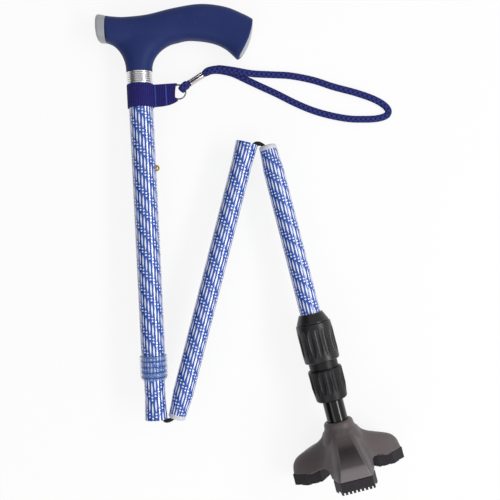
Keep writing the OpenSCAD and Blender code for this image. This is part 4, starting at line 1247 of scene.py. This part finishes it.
@dataclass
class WristStrap:
    """The webbing band and its tab, the split ring, the crimp and the cord's loop on the table."""

    band_z: float = 13.2
    band_w: float = 21.0
    tube_r: float = 11.05
    webbing: float = 1.1
    tab_reach: float = 34.0
    tab_end: float = 7.65
    pocket_half: float = 1.302
    pocket_from: float = 27.2
    tab_mid: float = 8.0
    tab_hollow: float = 3.0
    ring_d: float = 14.0
    ring_wire: float = 1.2
    cord_w: float = 6.4
    cord_t: float = 4.0
    loop: list[tuple[float, float, float]] = field(default_factory=lambda: [
        (-31, 166.4, 4.2), (-26.7, 166.7, 4.2), (-14, 165.0, 4.2), (2, 162.6, 2.1), (20, 162, 0), (38, 161, 0),
        (59, 157, 0), (78, 151, 0), (99, 145.5, 0), (115, 140, 0), (125, 134.5, 0), (129.5, 129, 0), (127.5, 124.4, 0),
        (118.5, 121.6, 0), (105, 121, 0), (92, 121.5, 0), (76, 124.3, 0), (59, 129, 0), (42, 136, 0), (25, 144.4, 0),
        (9, 151.6, 0), (-4, 157.6, 0), (-16, 163, 0), (-28, 165.6, 0)])
    ring_gap: float = 0.75
    eye_angle: float = 44.0
    crimp_slit: float = 13.0
    tab_from: float = 8.0
    tongue_w: float = 5.0
    thread_r: float = 0.26
    zig: float = 0.75

    def ring_middle(self) -> Array:
        """Returns the middle of the split ring in the upper section's frame."""
        return np.array([self.pocket_from + self.ring_gap + self.ring_d / 2, 0.0, self.band_z + self.tab_mid])

    def ring_reach(self) -> float:
        """Returns the distance from the split ring's middle to the middle of its wire."""
        return self.ring_d / 2 - self.ring_wire / 2

    def eye_at(self) -> Array:
        """Returns the middle of the ring's wire where the cord's eye goes round it, in millimetres."""
        turn, _ = ZIGZAG.lie()
        a = math.radians(self.eye_angle)
        middle = UPPER.place(self.ring_middle()[None, :])[0]
        return middle / MM + turn @ (self.ring_reach() * np.array([math.cos(a), math.sin(a), 0.0]))

    def crimp_ends(self) -> tuple[Array, Array]:
        """Returns the two ends of the crimp's axis in millimetres."""
        eye = self.eye_at()
        return eye + np.array([4.4, 4.3, -6.6]), np.array([eye[0] + 15.8, eye[1] + 12.8, 4.4])

    def crimp_sides(self) -> tuple[Array, Array]:
        """Returns the crimp's level and upward directions, both square to its axis."""
        start, end = self.crimp_ends()
        run = unit(end - start)
        side = unit(np.cross(run, Z_UP))
        return side, np.cross(side, run)

    def cord(self) -> None:
        """Sweeps the braided loop from the crimp round the table and back, and the eye round the ring."""
        start, end = self.crimp_ends()
        _, up = self.crimp_sides()
        wide, thick, low = self.cord_w / 2, self.cord_t / 2, self.cord_t / 2 + 0.2
        shift = np.array(ZIGZAG.table_at)
        table = [(x + shift[0], y + shift[1], low + lift, wide, thick) for x, y, lift in self.loop]
        mid = (start + end) / 2
        route = np.array([
            (*(mid + up), 2.1, 0.95), (*(end + up), 2.1, 0.95), (*(end + (4.4, 3.5, 1.5)), 2.9, 1.6),
            (*(end + (8.6, 4.7, low - 0.2)), wide, thick), *table,
            (*(end + (8.4, 4.4, low - 4.4)), wide, thick), (*(end + (4.0, 2.3, -2.0)), 2.9, 1.6),
            (*(end - up), 2.1, 0.95), (*(mid - up), 2.1, 0.95)])
        fine = even_curve(smooth_curve(route, 10), 320) * MM
        thing = surface("strap_cord", sweep(fine[:, :3], fine[:, 3], fine[:, 4], 28, 2.4))
        fit(thing, CORD_BLUE, "upper_shaft", "braid", "wrist_cord")
        eye = self.eye_at()
        full = (3.4, 1.35)
        bend = np.array([
            (*(mid + up), 2.1, 0.95), (*(start + up), 2.3, 1.0), (*(eye + (2.8, 2.7, 0.2)), *full),
            (*(eye + (0.0, 0.0, 2.7)), *full), (*(eye + (-1.7, -2.0, 1.9)), *full),
            (*(eye + (-2.4, -2.8, -0.1)), *full)])
        back = np.array([
            (*(eye + (-2.4, -2.8, 0.1)), *full), (*(eye + (-1.7, -2.0, -1.9)), *full),
            (*(eye + (0.0, 0.0, -2.7)), *full), (*(eye + (2.2, 2.1, -4.4)), *full),
            (*(start - up), 2.3, 1.0), (*(mid - up), 2.1, 0.95)])
        for name, strand in (("strap_eye_upper", bend), ("strap_eye_lower", back)):
            line = smooth_curve(strand, 8) * MM
            fit(surface(name, sweep(line[:, :3], line[:, 3], line[:, 4], 20, 2.4)), CORD_BLUE, "upper_shaft", "braid")
        crimp = self.crimp()

    def crimp(self) -> bpy.types.Object:
        """Makes the crimp: an oval strip of steel bent round both strands, its two edges apart along the top."""
        start, end = self.crimp_ends()
        side, up = self.crimp_sides()
        a = np.radians(np.linspace(90.0 + self.crimp_slit, 450.0 - self.crimp_slit, 48))
        outer = np.stack([3.3 * np.cos(a), 2.9 * np.sin(a)], axis=1)
        inner = np.stack([2.75 * np.cos(a), 2.3 * np.sin(a)], axis=1)[::-1]
        ring = np.vstack([outer, inner])
        share = np.array([0.0, 0.02, 0.06, 0.5, 0.94, 0.98, 1.0])
        flare = np.array([1.0, 1.05, 1.0, 0.98, 1.0, 1.05, 1.0])
        path = start + (end - start) * share[:, None]
        shape = flare[:, None, None] * (ring[None, :, :1] * side + ring[None, :, 1:] * up)
        grid = (path[:, None, :] + shape) * MM
        thing = surface("crimp_sleeve", grid, Ends.OPEN)
        close_ends(thing)
        return fit(thing, CHROME, "upper_shaft", "steel", "cord_crimp")

    def band(self) -> None:
        """Makes the band round the tube: a flat ring of webbing with fuller edges."""
        r, w, t = self.tube_r, self.band_w, self.webbing
        outline = rounded_profile([(r, 0.0, 0.3), (r + t, 0.0, 0.45), (r + t, w, 0.45), (r, w, 0.3)])
        grid = revolve(outline + np.array([0.0, self.band_z]), 96)
        fit(surface("strap_loop", UPPER.place(grid), Ends.RING), WEBBING, "upper_shaft", "webbing", "strap_band")

    def layer(self, name: str, sign: float) -> None:
        """Makes one layer of the tab: a sheet that leaves the tube, opens over the pocket and ends hollow."""
        u = np.linspace(0.0, 1.0, 40)[:, None]
        v = np.linspace(-1.0, 1.0, 25)[None, :]
        hollow = self.tab_hollow * (1 - v**4) * np.ones_like(u)
        x = self.tab_from + (self.tab_reach - self.tab_from - hollow * u**6) * u
        above = np.interp(x, [self.tab_from, self.tab_reach], [self.tab_mid - 0.3, self.tab_end])
        below = np.interp(x, [self.tab_from, 14.0, 20.0, 26.0, 31.0, self.tab_reach],
                          [12.7, 12.7, 12.3, 11.2, 9.3, self.tab_end])
        z = self.band_z + self.tab_mid + np.where(v < 0, above, below) * v
        rise = np.interp(x, [self.tab_from, 16.0, self.pocket_from, self.tab_reach],
                         [0.02, 0.02, self.pocket_half, self.pocket_half])
        top = np.stack([x, sign * (rise + self.webbing), z * np.ones_like(x)], axis=2)
        bottom = np.stack([x, sign * rise, z * np.ones_like(x)], axis=2)
        thing = sheet_solid(name, UPPER.place(top), UPPER.place(bottom))
        edge = thing.modifiers.new("edge", "BEVEL")
        edge.width = 0.25 * MM
        edge.segments = 2
        edge.limit_method = "ANGLE"
        fit(thing, WEBBING, "upper_shaft", "webbing")

    def tongue(self) -> None:
        """Makes the fold that joins the two layers through the split ring: half a turn of webbing."""
        a = np.linspace(-math.pi / 2, math.pi / 2, 20)
        r_in, r_out = self.pocket_half, self.pocket_half + self.webbing
        v = np.linspace(-self.tongue_w / 2, self.tongue_w / 2, 12)
        x0 = self.tab_reach - self.tab_hollow - 0.1 - self.webbing

        def arc(r: float, squash: float) -> Array:
            """Returns half a turn of an oval, r high and squash long, across the tongue's width."""
            x = x0 + np.cos(a)[:, None] * squash * np.ones_like(v)[None, :]
            y = np.sin(a)[:, None] * r * np.ones_like(v)[None, :]
            return np.stack([x, y, (self.band_z + self.tab_mid + v)[None, :] * np.ones_like(x)], axis=2)

        thing = sheet_solid("strap_fold", UPPER.place(arc(r_out - 0.02, 1.2)), UPPER.place(arc(r_in, 0.3)))
        fit(thing, WEBBING, "upper_shaft", "webbing")

    def stitches(self) -> None:
        """Lays zigzag bars of thread across the tab's upper layer."""
        for index, (x, first, last, rise) in enumerate(((13.4, -7.4, 12.3, 1.16), (23.4, -7.3, 11.4, 2.0))):
            n = 46
            t = np.linspace(first, last, n)
            zig = np.where(np.arange(n) % 2 == 0, -self.zig, self.zig)
            path = np.stack([x + zig, np.full(n, rise), self.band_z + self.tab_mid + t], axis=1)
            line = UPPER.place(even_curve(path, n * 4))
            width = np.full(len(line), self.thread_r * MM)
            bar = surface(f"stitch_bar_{index + 1}", sweep(line, width, width * 0.8, 8))
            fit(bar, THREAD, "upper_shaft", "webbing")

    def ring(self) -> None:
        """Winds the split ring: two turns of wire that lie on each other."""
        n = 260
        t = np.linspace(0.0, 1.0, n)
        a = t * 2 * 2 * math.pi + math.radians(40.0)
        lift = (np.clip((t - 0.42) / 0.16, 0.0, 1.0) - 0.5) * self.ring_wire * 0.98
        r = self.ring_reach()
        path = self.ring_middle() + np.stack([r * np.cos(a), lift, r * np.sin(a)], axis=1)
        half = np.full(n, self.ring_wire / 2 * MM)
        fit(surface("split_ring_wire", sweep(UPPER.place(path), half, half, 16)), RING_WIRE, "upper_shaft", "steel",
            "split_ring")

    def build(self) -> None:
        """Builds the cord first, and then the strap that carries it."""
        self.cord()
        self.ring()
        self.band()
        self.layer("strap_layer_upper", 1.0)
        self.layer("strap_layer_lower", -1.0)
        self.tongue()
        self.stitches()


@dataclass
class UpperShaft:
    """The upper tube, the sliding tube with its button, and the clear locking ring."""

    bore_r: float = 11.3
    lip_r: float = 9.85
    lip_h: float = 2.0
    ring_r: float = 12.0
    ridge_h: float = 0.75

    def lock(self) -> None:
        """Turns the locking ring: a bore, four full ridges and a lower end that rounds in."""
        t = np.linspace(0.0, 1.0, 90)
        wave = np.abs(np.sin(np.pi * np.clip(t / LOCK_RIDGED, 0, 1) * LOCK_RIDGES)) ** 0.7
        tail = np.clip((t - 0.84) / 0.16, 0.0, 1.0)
        r = self.ring_r + self.ridge_h * wave * (1 - tail) - 2 * self.ridge_h * tail**2
        r[0] = self.ring_r - 0.4
        outer = np.stack([r, LOCK_TOP + t * LOCK_H], axis=1)
        end = LOCK_TOP + LOCK_H
        bore = np.array([(self.lip_r, end - 0.2), (self.lip_r, end - self.lip_h),
                         (self.bore_r, end - self.lip_h), (self.bore_r, LOCK_TOP + 0.1)])
        grid = revolve(np.vstack([outer, bore]), 96)
        thing = surface("lock_ring_clear", UPPER.place(grid), Ends.RING)
        fit(thing, CLEAR_BLUE, "lock_ring", "clear_blue", "lock_ring")

    def build(self) -> None:
        """Dresses the tubes and their fittings."""
        dress_nodes(OUTER_PRINT, "outer_tube")
        dress_nodes(INNER_PRINT, "inner_tube")
        dress_nodes(BRASS, "snap_button")
        dress_nodes(INNER_BLACK, "upper_anchor")
        dress_nodes(CLEAR_BLUE, "lock_bush")
        dress_nodes(RING_GREY, "glide_bush")
        dress_nodes(STEEL, "button_spring")
        self.lock()


@dataclass
class Elastic:
    """The elastic cord: straight runs in the tubes, and a bend at each fold."""

    radius: float = 1.5
    cap_points: int = 3
    slack: float = 0.4
    slack_reach: float = 3.5
    dip: float = 28.0
    tip_end: float = 32.0
    upper_anchor: float = 129.5
    lower_anchor: float = 142.0
    mouth: list[tuple[float, float]] = field(default_factory=lambda: [
        (0, -28), (0, -18), (2.4, -7), (5.4, -1.4), (7.6, 1.2), (9.4, 1.9)])
    tip: list[tuple[float, float]] = field(default_factory=lambda: [
        (6.3, -3), (4.2, -1.5), (2.6, 0.6), (1.3, 4), (0.3, 10), (0, 18), (0, 32)])

    def half(self, line: Array, split: int, forward: bool) -> tuple[Array, Array]:
        """Returns one half of a bend's centre line with its radii, rounded off past the split.

        Args:
            line: the centre line of the whole bend.
            split: the line's point at the fold.
            forward: whether the half is the one before the split.

        Returns:
            The half's centre line and its radii.
        """
        route, at = (line, split) if forward else (line[::-1], len(line) - 1 - split)
        part = route[:at + self.cap_points + 1]
        away = np.linalg.norm(part - route[at], axis=1)
        bunch = 1.0 + self.slack * np.exp(-(away / (self.slack_reach * MM)) ** 2)
        past = np.where(np.arange(len(part)) > at, away, 0.0)
        share = np.sqrt(np.clip(1.0 - (past / (self.radius * MM)) ** 2, 0.04, 1.0))
        return part, self.radius * MM * bunch * share

    def bend(self, fold: str, bodies: tuple[str, str], first: Section, mouth_z: float, second: Section,
             side: float) -> None:
        """Sweeps one bend from a mouth, under its rim and into the plug end beside it, split at the fold.

        Args:
            fold: the letter of the fold.
            bodies: the bodies that the two halves ride on.
            first: the section with the mouth.
            mouth_z: the mouth's place along that section.
            second: the section with the plug end.
            side: the side of the fold, 1 or -1.
        """
        lead = np.array([(side * x, 0.0, mouth_z + z) for x, z in self.mouth])
        tail = np.array([(side * x, 0.0, z) for x, z in self.tip])
        route = np.vstack([first.place(lead), second.place(tail)])
        line = even_curve(smooth_curve(route, 10), 180)
        split = int(np.argmin(np.linalg.norm(line - first.place(lead[-1]), axis=1)))
        halves = (("elastic_bend_", True, first, (f"elastic_bridge_{fold}",)), ("elastic_tail_", False, second, ()))
        for body, (stem, forward, section, nodes) in zip(bodies, halves):
            part, radii = self.half(line, split, forward)
            piece = surface(stem + fold, sweep(part, radii, radii, 24))
            fit(piece, ELASTIC, body, "elastic", *nodes)
            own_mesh(piece)

    def run(self, name: str, body: str, node: str, section: Section, start: float, end: float) -> None:
        """Sweeps one straight run along a section's axis."""
        z = np.linspace(start, end, 60)
        line = section.place(np.stack([0 * z, 0 * z, z], axis=1))
        half = np.full(len(z), self.radius * MM)
        fit(surface(name, sweep(line, half, half, 20)), ELASTIC, body, "elastic", node)

    def build(self) -> None:
        """Builds both bends and the three runs."""
        z = ZIGZAG
        self.bend("a", ("link_a", "middle_shaft"), UPPER, z.mouth_z, MIDDLE, 1.0)
        self.bend("b", ("link_b", "lower_shaft"), MIDDLE, z.middle_len, LOWER, -1.0)
        self.run("elastic_run_upper", "inner_shaft", "elastic_upper", UPPER, self.upper_anchor, z.mouth_z - self.dip)
        self.run("elastic_run_middle", "middle_shaft", "elastic_middle", MIDDLE, self.tip_end, z.middle_len - self.dip)
        self.run("elastic_run_lower", "lower_shaft", "elastic_lower", LOWER, self.tip_end, self.lower_anchor)


@dataclass
class LowerShafts:
    """The middle and lower tubes with their end rings, and the twist collars."""

    def build(self) -> None:
        """Dresses the nodes."""
        dress_nodes(MIDDLE_PRINT, "middle_tube")
        dress_nodes(LOWER_PRINT, "lower_tube")
        dress_nodes(RING_GREY, "middle_end_ring", "lower_end_ring")
        dress_nodes(COLLAR_BLACK, "clamp_cone", "twist_barrel")
        dress_nodes(NUT_BLACK, "collar_core", "twist_nut")
        dress_nodes(INNER_BLACK, "lower_anchor", "upper_collet", "lower_collet")
        dress_nodes(SHAFT_BLACK, "foot_shaft")


@dataclass
class TripodFoot:
    """The tripod foot: a turned hub that runs out into three lobed legs, and rubber pads under them."""

    lower_len: float = 310.0
    foot_r: float = 52.0
    foot_h: float = 52.0
    pad_h: float = 10.0
    leg_w: float = 37.0
    end_w: float = 28.0
    shaft_r: float = 9.6
    pad_root: float = 0.474
    bore_end: float = 30.5
    steps: int = 14
    voxel: float = 0.0006

    def rows(self) -> Array:
        """Returns the outlines from hub to pads: height, leg's reach, half panel, shoulder's reach and half, web."""
        h, r, e, w = self.foot_h, self.foot_r, self.end_w, self.leg_w
        share = np.array([
            (0.837, 0.291, 0.180, 0.280, 0.210, 0.266), (0.769, 0.325, 0.210, 0.310, 0.245, 0.300),
            (0.712, 0.385, 0.235, 0.360, 0.285, 0.327), (0.654, 0.479, 0.260, 0.440, 0.330, 0.352),
            (0.596, 0.600, 0.285, 0.545, 0.380, 0.377), (0.538, 0.747, 0.310, 0.675, 0.430, 0.400),
            (0.462, 0.890, 0.350, 0.800, 0.475, 0.435), (0.365, 0.965, 0.410, 0.868, 0.495, 0.480),
            (0.269, 0.982, 0.455, 0.875, 0.495, 0.520), (0.193, 0.986, 0.492, 0.880, 0.490, 0.544)])
        return smooth_curve(share * np.array([h, r, e, r, w, r]), 5)

    def lobes(self) -> Array:
        """Lofts the three legs: each outline runs from a panel's edge to the web along a cubic curve.

        The curve's handles are the leg's shoulder and a point square to the web, and the other sides are its
        mirror image and its turns by a third.

        Returns:
            The grid of points in the section's frame.
        """
        rows = self.rows()
        t = np.linspace(0.0, 1.0, self.steps + 1)[None, :, None]
        c, s = math.cos(math.radians(60.0)), math.sin(math.radians(60.0))
        web = rows[:, 5:6] * np.array([c, s])
        lead = web + rows[:, 5:6] * 0.43 * np.array([s, -c])
        a, b, d, e = (v[:, None, :] for v in (rows[:, 1:3], rows[:, 3:5], lead, web))
        side = (1 - t) ** 3 * a + 3 * (1 - t) ** 2 * t * b + 3 * (1 - t) * t**2 * d + t**3 * e
        mirrored = side[:, ::-1] * np.array([1.0, -1.0])
        flat = np.linspace(-1.0, 1.0, 9)[1:-1]
        panel = np.stack([np.repeat(rows[:, 1:2], 7, axis=1), rows[:, 2:3] * flat[None, :]], axis=2)
        leg = np.concatenate([mirrored, panel, side[:, :-1]], axis=1)
        turns = np.radians(90.0 + 120.0 * np.arange(3))
        spun = [leg @ np.array([[math.cos(q), math.sin(q)], [-math.sin(q), math.cos(q)]]) for q in turns]
        plan = np.concatenate(spun, axis=1)
        height = np.repeat(self.lower_len - rows[:, 0:1], plan.shape[1], axis=1)
        return np.concatenate([plan, height[:, :, None]], axis=2)

    def cutters(self) -> list[bpy.types.Object]:
        """Makes the shapes cut from the legs: the hollow, three arches between the pads and the shaft's bore."""
        a = np.linspace(0.02, math.pi - 0.02, 40)
        r = self.foot_r * self.pad_root - 0.6
        dome = np.stack([r * np.sin(a), self.lower_len - self.pad_h + 1 + 0.5 * r * np.cos(a)], axis=1)
        made = [surface("hollow", LOWER.place(revolve(dome, 72)))]
        b = round_angles(48)
        for k in range(3):
            q = math.radians(150.0 + 120.0 * k)
            out, aside = np.array([math.cos(q), math.sin(q), 0.0]), np.array([-math.sin(q), math.cos(q), 0.0])
            ring = np.cos(b)[:, None] * aside * self.foot_r * 0.33 + np.sin(b)[:, None] * Z_UP * 7.0
            ends = [ring + out * reach + Z_UP * (self.lower_len - self.pad_h + 2.0) for reach in (0.5, self.foot_r + 8)]
            made.append(surface(f"arch_{k}", LOWER.place(np.array(ends))))
        bore = np.array([(self.shaft_r, self.lower_len - 60.0), (self.shaft_r, self.lower_len - self.bore_end)])
        made.append(surface("bore", LOWER.place(revolve(bore, 72))))
        return made

    def hub(self) -> bpy.types.Object:
        """Turns the hub with the bore that takes the shaft."""
        h = np.array([
            (0.01, 21.0), (17, 21.0), (19.2, 34.3), (18.4, 36.8), (17.4, 39), (15.5, 43.2), (14, 45.8), (13.6, 47.8),
            (13.5, 49.4), (12.9, 51.1), (11.6, 52), (9.7, 52), (9.62, 51.4), (9.62, self.bore_end),
            (0.01, self.bore_end)], float)
        grid = revolve(np.stack([h[:, 0], self.lower_len - h[:, 1]], axis=1), 96)
        return surface("hub", LOWER.place(grid))

    def body(self) -> None:
        """Melts hub and legs into one moulding and marks how far each point lies down a leg's panel, for the panels'
        painted light and shade.
        """
        legs = surface("legs", LOWER.place(self.lobes()))
        carve(legs, self.cutters())
        thing = melt("tripod_foot", [self.hub(), legs], self.voxel, 2)
        local = LOWER.local(points_of(thing))
        angle = (np.degrees(np.arctan2(local[:, 1], local[:, 0])) - 30.0) % 120.0 - 60.0
        reach = np.hypot(local[:, 0], local[:, 1])
        out, aside = reach * np.cos(np.radians(angle)), np.abs(reach * np.sin(np.radians(angle)))
        rows = self.rows()[::-1]
        height = self.lower_len - local[:, 2]
        edge, half = (np.interp(height, rows[:, 0], rows[:, k]) for k in (1, 2))
        on = (aside < half + 0.2) & (out > edge - 1.2) & (height < self.foot_h * 0.72)
        # The mask drives the panels' painted shade: 0 off the panels, 0.3 at the pad and 1 towards the hub.
        add_mask(thing, "panel", np.where(on, 0.3 + 0.7 * np.clip((height - 10.0) / 26.0, 0.0, 1.0), 0.0))
        fit(thing, FOOT_WITH_PAINTED_SHADE, "lower_shaft", "foot_plastic", "foot_hub")

    def build(self) -> None:
        """Builds the foot and dresses its pads and screw."""
        self.body()
        dress_nodes(PAD_RUBBER, "sole_pad_1", "sole_pad_2", "sole_pad_3")
        dress_nodes(STEEL, "foot_screw")


def main() -> None:
    """Builds the studio and every sub-assembly in order."""
    logging.basicConfig(level=logging.INFO, format="%(message)s")
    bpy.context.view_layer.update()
    studio = Studio()
    studio.camera()
    WristStrap().build()
    Handle().build()
    UpperShaft().build()
    Elastic().build()
    LowerShafts().build()
    TripodFoot().build()
    studio.floor()
    studio.light()


if __name__ == "__main__":
    main()
